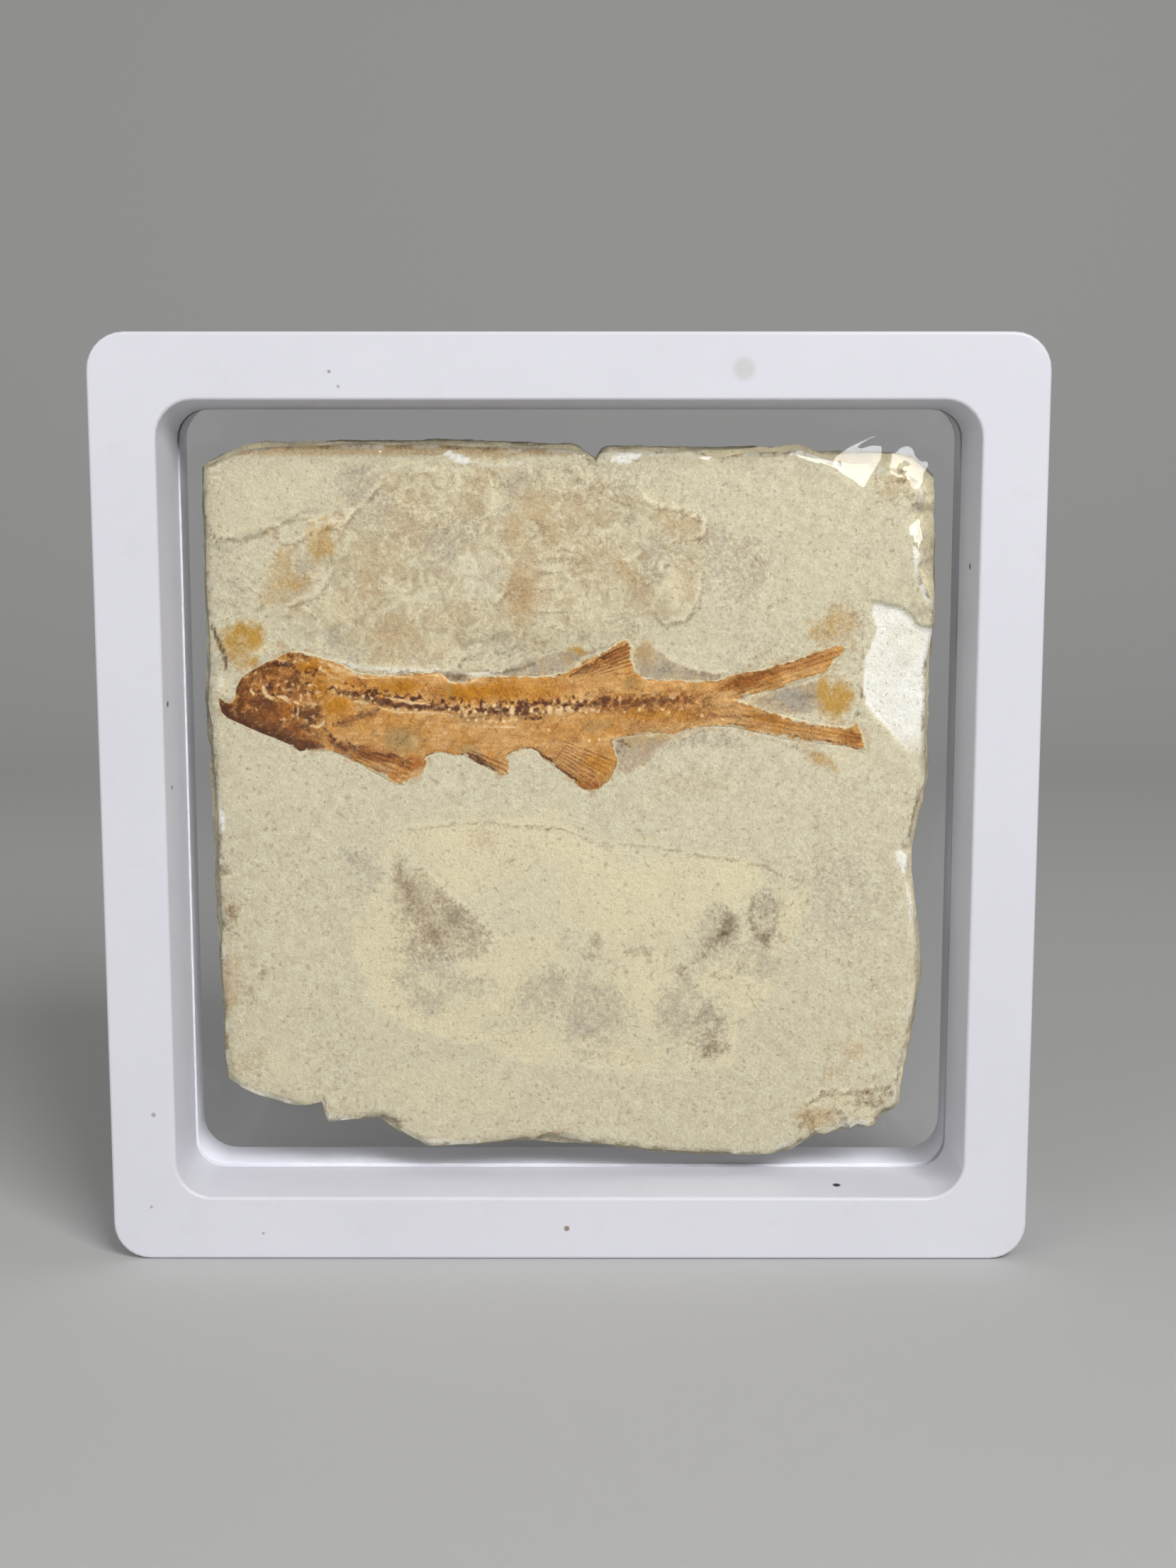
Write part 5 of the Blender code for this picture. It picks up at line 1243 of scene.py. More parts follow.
# Near-white is partly painted glints, cream partly painted highlight and dark partly painted
# shade.
colour = layered_colour(tree, base, [
    ("cream", pigment(218, 206, 171), 0.5), ("tan", pigment(187, 160, 119), 0.45),
    ("ochre", pigment(186, 146, 70), 0.35), ("grey", pigment(167, 157, 140), 0.5),
    ("smear", pigment(138, 116, 90), 0.4), ("chalk", pigment(238, 235, 224), 0.3),
    ("dark", pigment(112, 90, 64), 0.4)], threshold)
flecks = math_node(tree, 'MULTIPLY', stretch(tree, specks, 0.64, 0.73), 0.38)
colour = mix_colour(tree, flecks, colour, pigment(128, 112, 86))
tint(tree, shader, colour, stretch(tree, fine, 0.3, 0.7, 0.89, 1.10),
     stretch(tree, sand, 0.3, 0.7, 0.88, 1.11))
height = math_node(tree, 'MULTIPLY_ADD', coarse, 0.8, fine)
height = math_node(tree, 'MULTIPLY_ADD', math_node(tree, 'MULTIPLY', curls, scarred), 1.6, height)
roughen(tree, shader, height, 0.6, 0.00016)
slab.data.materials.clear()
slab.data.materials.append(shale)
print("the shale has", len(tree.nodes), "nodes")

# %% [markdown]
# The fish is a thin film of mineral bone that lies in its hollow in the stone. It is made
# from a much finer grid than the stone, because its smallest marks are a third of a
# millimetre wide. The cells outside the outline are deleted, the border is snapped to it,
# and the edge is extruded back into the stone and closed. The border dips under the stone,
# so the visible edge is where the two surfaces meet, as on the real one.

# %% Fish blank
FISH_CELL = 0.105
FISH_SKIRT = 0.30
FISH_BACK_OUT = 2.68
FISH_SMOOTH = 50
FISH_LOW = (-42.6, 0.4)
FISH_HIGH = (36.2, 20.1)

columns = round((FISH_HIGH[0] - FISH_LOW[0]) / FISH_CELL)
rows = round((FISH_HIGH[1] - FISH_LOW[1]) / FISH_CELL)
fish = flat_grid("fossil_fish", columns, rows)
right, up = grid_shares(fish)
x = FISH_LOW[0] + right * (FISH_HIGH[0] - FISH_LOW[0])
z = FISH_LOW[1] + up * (FISH_HIGH[1] - FISH_LOW[1])
write_points(fish, x, z, np.full(x.shape, FACE_OUT))
inside = depth_inside(x, z, FISH_OUTLINE) > FISH_CELL / 2 - FISH_SKIRT
bpy.ops.object.mode_set(mode='EDIT')
bpy.ops.mesh.select_mode(type='VERT')
bpy.ops.mesh.select_all(action='DESELECT')
bpy.ops.object.mode_set(mode='OBJECT')
fish.data.vertices.foreach_set("select", ~inside)
bpy.ops.object.mode_set(mode='EDIT')
bpy.ops.mesh.delete(type='VERT')
bpy.ops.mesh.select_all(action='DESELECT')
bpy.ops.mesh.select_non_manifold()
bpy.ops.object.mode_set(mode='OBJECT')
border = np.empty(len(fish.data.vertices), bool)
fish.data.vertices.foreach_get("select", border)
x, z, out = read_points(fish)
edge_x, edge_z, out_x, out_z, _ = nearest_on(x[border], z[border], FISH_OUTLINE)
away = np.hypot(x[border] - edge_x, z[border] - edge_z)
x[border] = edge_x + (x[border] - edge_x) * FISH_SKIRT / away
z[border] = edge_z + (z[border] - edge_z) * FISH_SKIRT / away
write_points(fish, x, z, out)
bpy.ops.object.mode_set(mode='EDIT')
bpy.ops.mesh.extrude_region_move(
    TRANSFORM_OT_translate={"value": (0, (FACE_OUT - FISH_BACK_OUT) * MM, 0)})
bpy.ops.mesh.edge_face_add()
bpy.ops.mesh.select_all(action='SELECT')
bpy.ops.mesh.normals_make_consistent(inside=False)
bpy.ops.object.mode_set(mode='OBJECT')
count(fish)

# %% [markdown]
# The bones first: a low swelling for the trunk, plates for the skull, a row of beads for the
# backbone, and fans of fine rays. The flattened bones of a fossil stand out by no more than a
# quarter of a millimetre, so every height here is small.

# %% Fish bones
BACKBONE = [
    (-28.2, 13.4), (-26, 12.8), (-23, 12.1), (-20, 11.6), (-16, 11.3), (-12, 10.9), (-8, 10.7),
    (-4, 10.8), (0, 11.3), (5, 11.4), (10, 11.6), (16, 11.6), (21, 11.9)]
TRUNK = [
    (-29.5, 16), (-24, 14.8), (-16, 14.8), (-12.8, 13.8), (-4, 14.6), (6, 14.8), (16, 14),
    (22, 14.2), (23.6, 12.2), (21, 9.6), (14, 9), (6, 8), (-2, 6.8), (-8, 6.2), (-16, 6.2),
    (-24, 6), (-29, 7)]


def fan(base_start, base_end, tip_start, tip_end, rays, width, strength):
    """Straight rays from one line to another."""
    made = []
    for i in range(rays):
        share = i / (rays - 1)
        base = [a + share * (b - a) for a, b in zip(base_start, base_end)]
        tip = [a + share * (b - a) for a, b in zip(tip_start, tip_end)]
        made.append((width, strength, [tuple(base), tuple(tip)]))
    return made


def beads(line, steps, width, height):
    """Spots in a row along a broken line."""
    places = resample(line, steps)
    return [(x, z, width, height, 0, 1.0) for x, z in places]


FINS = [
    # first ray, last ray, how many
    (((-0.9, 15.2), (6.8, 19.4)), ((3.6, 14.9), (7.7, 16.0)), 7),
    (((-3.2, 5.7), (2.3, 1.3)), ((0.6, 7.1), (5.7, 5.3)), 9),
    (((-12.7, 5.7), (-7.9, 3.1)), ((-12.0, 6.6), (-7.1, 4.8)), 3),
    (((-28.4, 6.0), (-20.6, 1.7)), ((-26.4, 7.2), (-17.2, 4.7)), 6),
    (((18.2, 13.8), (32.6, 18.9)), ((20.4, 12.2), (31.4, 15.4)), 5),
    (((18.0, 9.0), (35.0, 6.2)), ((20.2, 11.9), (34.6, 8.6)), 5)]


def fin_rays(x, z):
    """The fine rays of every fin, from 0 to 1 on a ray's crest, and the spaces between."""
    crest = np.zeros(np.shape(x))
    space = np.zeros(np.shape(x))
    for (a, b), (c, d), rays in FINS:
        first = np.array(b) - a
        last = np.array(d) - c
        below = ((x - a[0]) * first[1] - (z - a[1]) * first[0]) / np.hypot(*first)
        above = ((z - c[1]) * last[0] - (x - c[0]) * last[1]) / np.hypot(*last)
        across = below / np.where(np.abs(below + above) > 1e-6, below + above, 1.0)
        along = ((x - a[0]) * first[0] + (z - a[1]) * first[1]) / (first @ first)
        fin = ramp(across, 0, 0.06) * ramp(across, 1, 0.94) * ramp(along, -0.1, 0.15)
        fin *= ramp(along, 1.15, 1.0)
        wave = 0.5 + 0.5 * np.cos(2 * math.pi * rays * across)
        crest = np.maximum(crest, fin * wave)
        space = np.maximum(space, fin * (1 - wave))
    return crest, space


RIBS = (
    fan((-26.5, 12.2), (-1.0, 10.4), (-24.4, 7.6), (1.4, 7.8), 20, 0.32, 0.8)
    + fan((0.5, 10.8), (20.0, 11.4), (2.4, 8.6), (21.8, 9.8), 18, 0.28, 0.8)
    + fan((-25.0, 13.2), (20.0, 12.4), (-22.6, 15.0), (22.0, 13.8), 38, 0.26, 0.7))
SKULL_PLATES = [
    (-31.4, 11.8, 5.6, 8.6, 12, 0.9), (-35.2, 10, 5.4, 3.2, -22, 0.8),
    (-34.6, 14.6, 4.4, 2.4, 14, 0.7), (-37.4, 13, 3, 3, 0, 0.6), (-28.2, 11.4, 3, 2.4, 0, 0.6),
    (-30.4, 15.6, 3, 2.6, 0, 0.5)]
SKULL_RIDGES = [
    (0.8, 1, [(-39.4, 13.4), (-38.4, 15), (-36.2, 16.1), (-34, 16.8), (-31, 17.1)]),
    (0.9, 1, [(-41.6, 11.6), (-40, 10.4), (-37.6, 9.3), (-34.6, 8.2), (-31.6, 7.2)]),
    (0.6, 0.8, [(-29, 15.6), (-28.6, 12), (-28.9, 9), (-30, 7)]),
    (0.5, 0.7, [(-34, 12.6), (-32.4, 11.4), (-32, 9.6)]),
    (0.5, 0.7, [(-29, 8), (-27.6, 6.4), (-25.7, 5.2)])]


def fish_height(x, z):
    """Height of the bones over the stone's face plane, in mm."""
    inside = depth_inside(x, z, FISH_OUTLINE)
    edge = 0.42 * ramp(inside, -FISH_SKIRT, 0.05) - 0.38 + 0.05 * ramp(inside, 0.0, 0.5)
    height = edge + 0.10 * ramp(depth_inside(x, z, TRUNK), -0.4, 2.6)
    height += 0.08 * spots(x, z, SKULL_PLATES, 0.35)
    height += 0.09 * strokes(x, z, SKULL_RIDGES)
    row = strokes(x, z, [(1.5, 1.0, BACKBONE)], 0.4)
    height += 0.05 * row + 0.08 * spots(x, z, beads(BACKBONE, 42, 0.80, 0.95), 0.4)
    height += 0.05 * fin_rays(x, z)[0] + 0.035 * strokes(x, z, RIBS)
    skull = ramp(x, -27.5, -31.0) * ramp(inside, 0.0, 0.8)
    height += skull * 0.07 * cloud(x, z, 1.1, 71, 3)
    pitting = 0.025 * cloud(x, z, 0.7, 72) + 0.02 * cloud(x, z, 3.0, 73)
    return height + ramp(inside, 0, 0.4) * pitting


x, z, out = read_points(fish)
bone_face = out > FISH_BACK_OUT + 0.1
ground = FACE_OUT + swell(x, z)
out[bone_face] = (ground + fish_height(x, z))[bone_face]
write_points(fish, x, z, out)
print(len(RIBS), "ribs and", len(FINS), "fins")

# %% [markdown]
# The colours of the fish follow the photograph mark by mark: a crushed dark head with pale
# splinters, the beaded backbone, golden muscle above it and tan below, a red-brown pectoral
# fin and dark leading edges on the fins.

# %% Fish marks: brown, dark and pale
BROWN_STROKES = [
    (1.5, 1, [(-41.4, 11.9), (-40.6, 11), (-39, 10), (-37.4, 9.3), (-35.8, 8.7), (-34.2, 8.2)]),
    (1.1, 1, [(-38.4, 15.2), (-39.3, 13.9), (-39.5, 12.4), (-39, 10.8)]),
    (1, 1, [(-37.7, 15.4), (-36.2, 16), (-34.6, 16.6), (-33.2, 16.4)]),
    (0.7, 0.8, [(-33.6, 17.2), (-32.2, 17.6), (-30.8, 17.3)]),
    # The next stroke is a soft painted shadow along the flank.
    (1, 0.7, [(-28.4, 9.2), (-26.5, 9.7), (-24.5, 10.5), (-22.6, 11)]),
    (1, 0.75, [(-29.4, 8.6), (-28.6, 7.5), (-27.4, 6.5), (-25.8, 5.9), (-24.2, 5.6)]),
    (0.45, 0.8, [(-24.6, 5.7), (-22.6, 5.6), (-20.6, 5.3), (-19.2, 4.9)]),
    (0.4, 0.7, [(-26, 5.4), (-23.4, 5), (-21, 4.6), (-19, 4)]),
    (0.35, 0.6, [(-26.6, 5), (-24, 4.2), (-21.4, 3.6), (-19.6, 3.2)]),
    (0.5, 0.7, [(-27, 7.4), (-25.6, 6.6), (-23.6, 6.2)]),
    (0.9, 0.9, [(-27.6, 13.3), (-24.6, 12.6), (-20.4, 11.7), (-16.4, 11.4), (-12, 11.2)]),
    (1.3, 0.9, [(-11, 11), (-8, 10.8), (-4, 10.7)]),
    (0.7, 0.9, [(-5, 11.8), (-2, 11.8), (1, 11.7), (4, 11.9)]),
    (1.2, 0.8, [(3, 11.8), (5, 11.6), (7.4, 11.9), (10, 12.3), (13.2, 12.2)]),
    (0.6, 0.75, [(0, 15.1), (1.4, 15.7), (2.8, 16.6), (5, 17.7), (7.2, 18.9)]),
    (0.5, 0.6, [(0.8, 15), (2.6, 15.9), (4.4, 16.7), (6.6, 17.9)]),
    (0.4, 0.5, [(2, 15), (4, 15.9), (6.6, 17.2)]),
    (0.7, 0.8, [(-3.7, 5.9), (-2.4, 5), (-0.6, 3.5), (1.2, 2)]),
    (1, 0.9, [(-12.8, 5.7), (-11.4, 5.2), (-10, 4.4), (-8.8, 3.9)]),
    (1, 0.7, [(17.9, 13.3), (19.6, 14.3), (22, 15.1), (24.6, 15.6)]),
    (0.4, 0.6, [(19.8, 12.9), (22.4, 13.8), (26, 14.6)]),
    (0.4, 0.6, [(24, 15.9), (27, 16.9), (30.4, 18)]),
    (0.5, 0.7, [(25.5, 7.9), (28.6, 7.4), (32.4, 7)]),
    (0.35, 0.6, [(26.7, 9.6), (28.6, 9.3), (31, 9.2)]), (0.5, 0.5, [(19, 9.3), (22.4, 9)]),
    (0.35, 0.5, [(22, 10.5), (24.6, 10.1)])]
BROWN_SPOTS = [
    (-36.6, 11.6, 3.8, 2.2, -14, 0.95), (-36.2, 9.9, 4.6, 2, -20, 0.8),
    (-35.8, 13.9, 1.9, 1.3, 0, 0.8), (-32.9, 14.4, 2.8, 1.5, 0, 0.8), (-31.2, 10.4, 3, 2.6, 0, 1),
    (-32.7, 15.4, 1.4, 1.2, 0, 0.6), (-38.4, 12.4, 1.6, 2.4, 0, 0.6),
    (-30.3, 7.6, 3, 1.4, 0, 0.4), (-34.6, 12.9, 1.4, 1, 0, 0.6), (-32, 12.9, 1.2, 1.8, 0, 0.4),
    (-16.4, 13.2, 2, 2, 0, 0.22), (4.2, 13.2, 2.6, 1.6, 0, 0.35), (11, 12.4, 5, 1.5, 4, 0.45),
    (14.2, 13, 3.4, 1.6, 0, 0.45), (14.6, 9.7, 5, 1, 4, 0.5), (16.4, 12.4, 3, 2.4, 0, 0.3),
    (5.4, 17, 4, 1.4, 24, 0.4), (33.6, 7.7, 3, 1.8, -8, 0.6), (21, 14.2, 4, 1.6, 18, 0.55),
    (27, 8.2, 7, 1.2, -6, 0.35), (2, 2.4, 4, 1.4, -36, 0.35), (9, 9, 5, 1.2, 4, 0.3)]
DARK_LINES = [
    (0.8, 1, [(-41.7, 12.3), (-41.1, 11.4), (-40.2, 10.8), (-39, 10.2)]),
    (0.5, 0.9, [(-39, 9.8), (-37, 8.8), (-35, 7.9)]),
    (0.35, 1, [(-33.9, 7.15), (-33, 6.8), (-32.1, 6.4)]),
    (0.6, 1, [(-35.7, 16.2), (-34.8, 16.6), (-33.8, 16.7), (-33.3, 16.2)]),
    (0.45, 0.8, [(-37.6, 15.5), (-36.6, 15.8)]),
    (0.35, 0.9, [(-32.75, 11.5), (-32.9, 10.4), (-33, 9.7)]),
    (0.3, 0.6, [(-34.4, 11.5), (-34.7, 10.8)]),
    (0.4, 1, [(-29.3, 12.9), (-28.8, 13.4), (-28.2, 13.7), (-27.7, 13.4), (-27.4, 12.9)]),
    (0.3, 0.8, [(-30.5, 13.8), (-30.3, 13.1)]), (0.3, 0.6, [(-31.4, 14.8), (-30.8, 14.1)]),
    (0.5, 1, [(-29.2, 8.7), (-28.8, 8), (-28.2, 7.2), (-27.4, 6.4), (-26.4, 5.9)]),
    (0.35, 0.9, [(-26.6, 7.1), (-25.9, 6.6), (-25.5, 6.2)]),
    (0.25, 0.7, [(-25.8, 13.1), (-23.7, 13.1), (-20.8, 12.6), (-20.2, 12.3)]),
    (0.25, 0.7, [(-6, 11.75), (-3.4, 11.75), (-1.4, 11.7), (0.8, 11.6), (3.4, 11.9)]),
    (0.3, 0.7, [(-5.8, 9.9), (-3.4, 9.95)]), (0.2, 0.7, [(15, 11.3), (15.7, 10.9)]),
    (0.2, 0.7, [(15.5, 11.4), (16.2, 11)]), (0.2, 0.7, [(16, 11.5), (16.7, 11.1)]),
    (0.3, 1, [(0.4, 15.25), (1.6, 16), (3.8, 17.25), (5.4, 18.05), (7.3, 19.05)]),
    (0.3, 0.7, [(-3.4, 5.6), (-2, 4.7)])]
DARK_BLOTS = (
    dots(0.60, 1.0, [(-37.2, 13.3), (-31.0, 10.2), (-30.3, 9.5), (-26.8, 13.0), (-25.8, 12.8),
                     (-23.0, 12.2), (-20.8, 11.5), (-20.0, 11.7), (-19.0, 11.4), (-17.9, 11.3),
                     (-13.5, 11.2), (-11.75, 11.0), (-10.6, 11.1), (-21.8, 5.3), (4.5, 11.0)])
    + dots(0.45, 0.9, [(-35.4, 12.7), (-34.7, 13.6), (-32.3, 14.8), (-33.2, 14.1),
                       (-32.6, 15.5), (-25.1, 12.6), (-24.2, 12.5), (-23.9, 11.9),
                       (-17.2, 11.2), (-16.3, 11.5), (-14.3, 11.5), (-12.7, 11.0),
                       (-13.0, 10.2), (-11.6, 10.1), (-9.8, 9.9), (-9.4, 10.8), (-8.3, 9.8),
                       (-3.0, 11.5), (-1.7, 11.6), (1.9, 12.0), (3.0, 11.8), (9.0, 11.9),
                       (10.2, 12.3), (13.2, 12.4), (16.0, 10.6), (7.3, 13.8), (-25.8, 6.2),
                       (-20.0, 4.5), (-27.2, 9.5), (-23.4, 5.5)])
    + [(-35.8, 13.9, 1.2, 0.8, 0, 0.8), (-22.2, 11.8, 1.6, 0.7, -16, 1.0),
       (-15.3, 11.3, 2.0, 0.7, -4, 1.0), (-8.3, 10.8, 2.2, 1.2, 0, 1.0),
       (-10.0, 11.1, 1.0, 0.8, 0, 0.9), (-5.7, 10.9, 1.7, 1.4, 0, 1.0),
       (-4.3, 10.0, 1.8, 0.5, 0, 0.9), (4.4, 11.7, 1.5, 0.8, 0, 0.7),
       (6.8, 12.0, 1.4, 0.8, 0, 0.7), (-11.6, 5.3, 1.6, 0.8, -20, 1.0),
       (-10.7, 4.8, 1.4, 0.6, -30, 0.9), (-33.6, 8.4, 1.0, 1.0, 0, 0.3)])
PALE_CURLS = [
    (0.45, 1, [(-36.6, 14), (-36.5, 13.3), (-36.2, 12.8), (-35.6, 12.3)]),
    (0.4, 0.9, [(-38.1, 13.5), (-37.9, 13), (-37.6, 12.7)]),
    (0.42, 1, [(-34.9, 12.6), (-34.2, 12.5), (-33.7, 12.2), (-33.3, 11.7)]),
    (0.45, 1, [(-32.9, 12), (-32.3, 11.7)]), (0.3, 0.9, [(-32.1, 12.9), (-32.15, 12)]),
    (0.25, 0.6, [(-32.4, 11.3), (-32.5, 10)]), (0.35, 0.5, [(-33.9, 13.3), (-33, 13.4)]),
    (0.42, 1, [(-31, 9.1), (-30.2, 8.9), (-29.6, 9.2), (-29.3, 9.7)]),
    (0.45, 0.6, [(-31.6, 11.8), (-30.2, 11.7)]), (0.4, 0.5, [(-31.4, 6.15), (-28.8, 6.2)]),
    (0.55, 0.8, [(-29.6, 16.8), (-28, 16.1), (-26.4, 15.4), (-24.6, 14.9)]),
    (0.35, 0.6, [(-29.8, 16), (-28.6, 15.2), (-27, 14.4)]),
    (0.4, 1, [(-25.6, 12.05), (-24.8, 11.95), (-24, 11.85)]),
    (0.3, 0.8, [(-22, 12.55), (-20, 12.1), (-18.7, 11.85), (-16.7, 11.65)]),
    (0.32, 0.9, [(-22.8, 11.25), (-21, 10.8), (-19.3, 10.65), (-17.3, 10.7), (-15.7, 10.6),
                 (-14.4, 10.5)]), (0.28, 0.8, [(-10.9, 9), (-9.7, 9)]),
    (0.3, 0.9, [(-9.4, 8.9), (-6.2, 8.9)]),
    (0.35, 0.8, [(-16.9, 15.1), (-15.3, 15.2), (-14.7, 14.6), (-13.8, 14.2), (-12.1, 14.3),
                 (-10.8, 14.9)]), (0.3, 0.6, [(-24.6, 14.8), (-21, 15), (-18.6, 14.9)]),
    (0.4, 0.8, [(-26.2, 4.9), (-23.8, 3.7), (-21.2, 2.4)]),
    (0.25, 0.6, [(-24, 4.6), (-21.6, 3.5)]), (0.3, 0.5, [(-17, 5.6), (-14, 5.6)]),
    (0.45, 0.8, [(19.4, 12.3), (20.6, 12), (22.4, 11.4), (24.6, 10.9)])]
PALE_BEADS = (
    dots(0.38, 1.0, [(-28.1, 13.1), (-27.3, 12.7), (-26.3, 12.6), (-24.7, 12.6), (-23.5, 12.4),
                     (-21.2, 11.1), (-20.4, 11.0), (-19.5, 11.0), (-18.4, 11.0), (-14.3, 11.0),
                     (-13.2, 10.75), (-12.3, 10.75), (-11.2, 10.8), (-10.1, 10.6),
                     (-14.0, 10.3), (-12.5, 10.3), (-12.2, 9.8), (-11.2, 9.7), (-9.5, 9.6),
                     (-8.7, 9.6), (-7.9, 9.6), (-7.1, 9.7), (-6.4, 9.8), (-4.6, 10.9),
                     (-3.9, 10.6), (-3.2, 10.8), (1.2, 10.9), (2.0, 10.7), (3.4, 10.8),
                     (6.6, 10.8), (8.4, 11.0), (11.1, 11.1), (11.9, 10.7), (15.9, 10.3),
                     (18.3, 9.9), (-2.4, 8.6), (-32.7, 16.8), (-29.8, 15.9), (-31.0, 13.9),
                     (-9.0, 11.5), (-7.4, 11.4), (2.3, 7.2), (3.5, 7.4)])
    + [(-6.85, 10.8, 0.7, 0.9, 0, 1.0), (-2.4, 11.0, 0.6, 1.1, 0, 1.0),
       (-1.2, 10.8, 0.9, 0.9, 0, 1.0), (0.0, 11.0, 0.9, 0.6, -25, 1.0),
       (2.8, 11.0, 0.6, 0.4, 0, 0.9), (-18.6, 7.1, 1.4, 1.8, 0, 0.4),
       (-14.9, 8.3, 0.7, 0.6, 0, 0.6), (18.9, 12.2, 3.4, 2.0, 0, 0.3),
       (7.5, 18.0, 0.7, 1.4, 0, 0.7), (33.6, 10.0, 0.8, 0.7, 0, 0.8),
       (-18.2, 3.4, 2.2, 1.2, 30, 0.4)])
print(len(BROWN_STROKES + BROWN_SPOTS), "brown marks,", len(DARK_LINES + DARK_BLOTS), "dark ones")

# %% [markdown]
# Broader spots warm the flanks and the fins: rust, gold and a dull olive. Along the feathered
# places the bone is so thin that the stone shows through it.

# %% Fish marks: warm tones and thin places
RUST_SPOTS = [
    (-36, 10.8, 7, 4, -14, 0.9), (-33.4, 8.5, 2.2, 2.2, 0, 1), (-34.6, 13.6, 8, 5, 0, 0.7),
    (-31.6, 9, 5, 5, 0, 0.55), (-38.6, 13.6, 2.4, 3.4, 0, 0.8), (-34.4, 15.6, 5, 1.8, 14, 0.6),
    (-30.2, 7.2, 4, 1.8, 0, 0.45), (-23.4, 5.4, 8.6, 1.8, -14, 0.9),
    (-18.6, 4.3, 3.4, 2.2, -10, 0.8), (-21.6, 3.5, 4, 1.6, -20, 0.55),
    (-25.2, 14.3, 2.6, 1.4, 0, 0.65), (-16.4, 13.3, 3, 2.4, 0, 0.45),
    (5.6, 17.6, 4.4, 2.6, 24, 0.7), (3, 16.4, 5, 1.4, 28, 0.55), (-11, 5.2, 4, 1.6, -20, 0.45),
    (-8.8, 4, 2.8, 1.4, 0, 0.45), (0.8, 4, 7, 3, -35, 0.42), (2.4, 1.9, 2.8, 1.6, 0, 0.9),
    (21.4, 14.6, 8, 2.2, 16, 0.75), (28.6, 16.8, 9, 1.8, 15, 0.55), (26, 8.9, 11, 2, -8, 0.3),
    (33.6, 7.6, 3.4, 1.6, -10, 0.65), (5.4, 11.8, 8, 2.2, 0, 0.65), (12.6, 12.2, 7, 2.4, 0, 0.6),
    (16, 11, 6, 3, 0, 0.35), (9.4, 9.4, 7, 1.4, 4, 0.4), (-3, 12.4, 5, 1, 4, 0.5),
    (1, 13.8, 8, 2.4, 0, 0.28), (-24.8, 10.4, 4, 1.2, 20, 0.5)]
GOLD_SPOTS = [
    (-30.2, 13.4, 2.8, 3.2, 0, 1), (-27.9, 11.3, 4, 2.4, 0, 1), (-31, 16, 4, 2, 0, 0.9),
    (-33.8, 10.8, 2, 2, 0, 1), (-32.2, 8, 2, 1.3, 0, 0.75), (-35.2, 15.4, 2.8, 0.8, 14, 0.8),
    (-38.2, 14.6, 1.6, 1.2, 0, 0.5), (-12, 12.9, 7, 2.4, 0, 1), (-20.6, 13.7, 6.6, 1.8, 0, 0.9),
    (-8, 13.3, 6, 2.4, 0, 0.9), (-3.6, 13, 6, 2.4, 0, 0.7), (-26.4, 14.2, 5, 1.6, -14, 0.55),
    (3.6, 4.4, 4, 3.4, -20, 0.8), (9.4, 10.6, 9, 2, 0, 0.75), (13.6, 10.4, 6, 1.6, 0, 0.7),
    (23.6, 9.9, 5, 1, -12, 0.8), (-1, 8.6, 9, 3, 0, 0.45), (30, 8.4, 8, 0.8, -8, 0.5)]
OLIVE_SPOTS = [
    (-19.9, 7.3, 4.4, 3.6, 0, 0.7), (3.1, 9.2, 3.8, 2, 0, 0.5), (-11.8, 10, 5, 1.4, 0, 0.55),
    (-12.2, 6.2, 3, 1.2, -10, 0.6), (-9.6, 4.2, 2.6, 0.9, -24, 0.6), (7.4, 14, 2.6, 1.6, 0, 0.6),
    (10.6, 8.6, 5, 0.9, 5, 0.45), (32.6, 17.1, 0.9, 0.6, 0, 0.8), (-14.4, 13.4, 1.4, 2.6, 0, 0.4),
    (5, 3, 1.4, 3, -30, 0.5), (-22, 12.9, 5, 0.5, -10, 0.5)]
FEATHERED = [
    (-23.4, 3.2, 9, 3.4, -25, 1), (28.6, 17, 12, 5, 15, 0.9), (30.4, 8, 12, 5, -8, 0.9),
    (6.5, 17.8, 3, 4, 0, 0.6), (4, 2.4, 5, 4, 0, 0.5), (-28, 16.6, 6, 2.4, -18, 0.8),
    (-8.6, 3.6, 4, 2.4, -20, 0.7)]
print(len(RUST_SPOTS + GOLD_SPOTS + OLIVE_SPOTS), "broad spots on the flanks")

# %% [markdown]
# Beside the listed marks each pigment follows the body: splinters on the skull, chevrons
# and threads of muscle, rays and the spaces between them on the fins, and loose grains along
# the backbone. The last cover is bare stone, which shows along the border where the bone is
# thin.

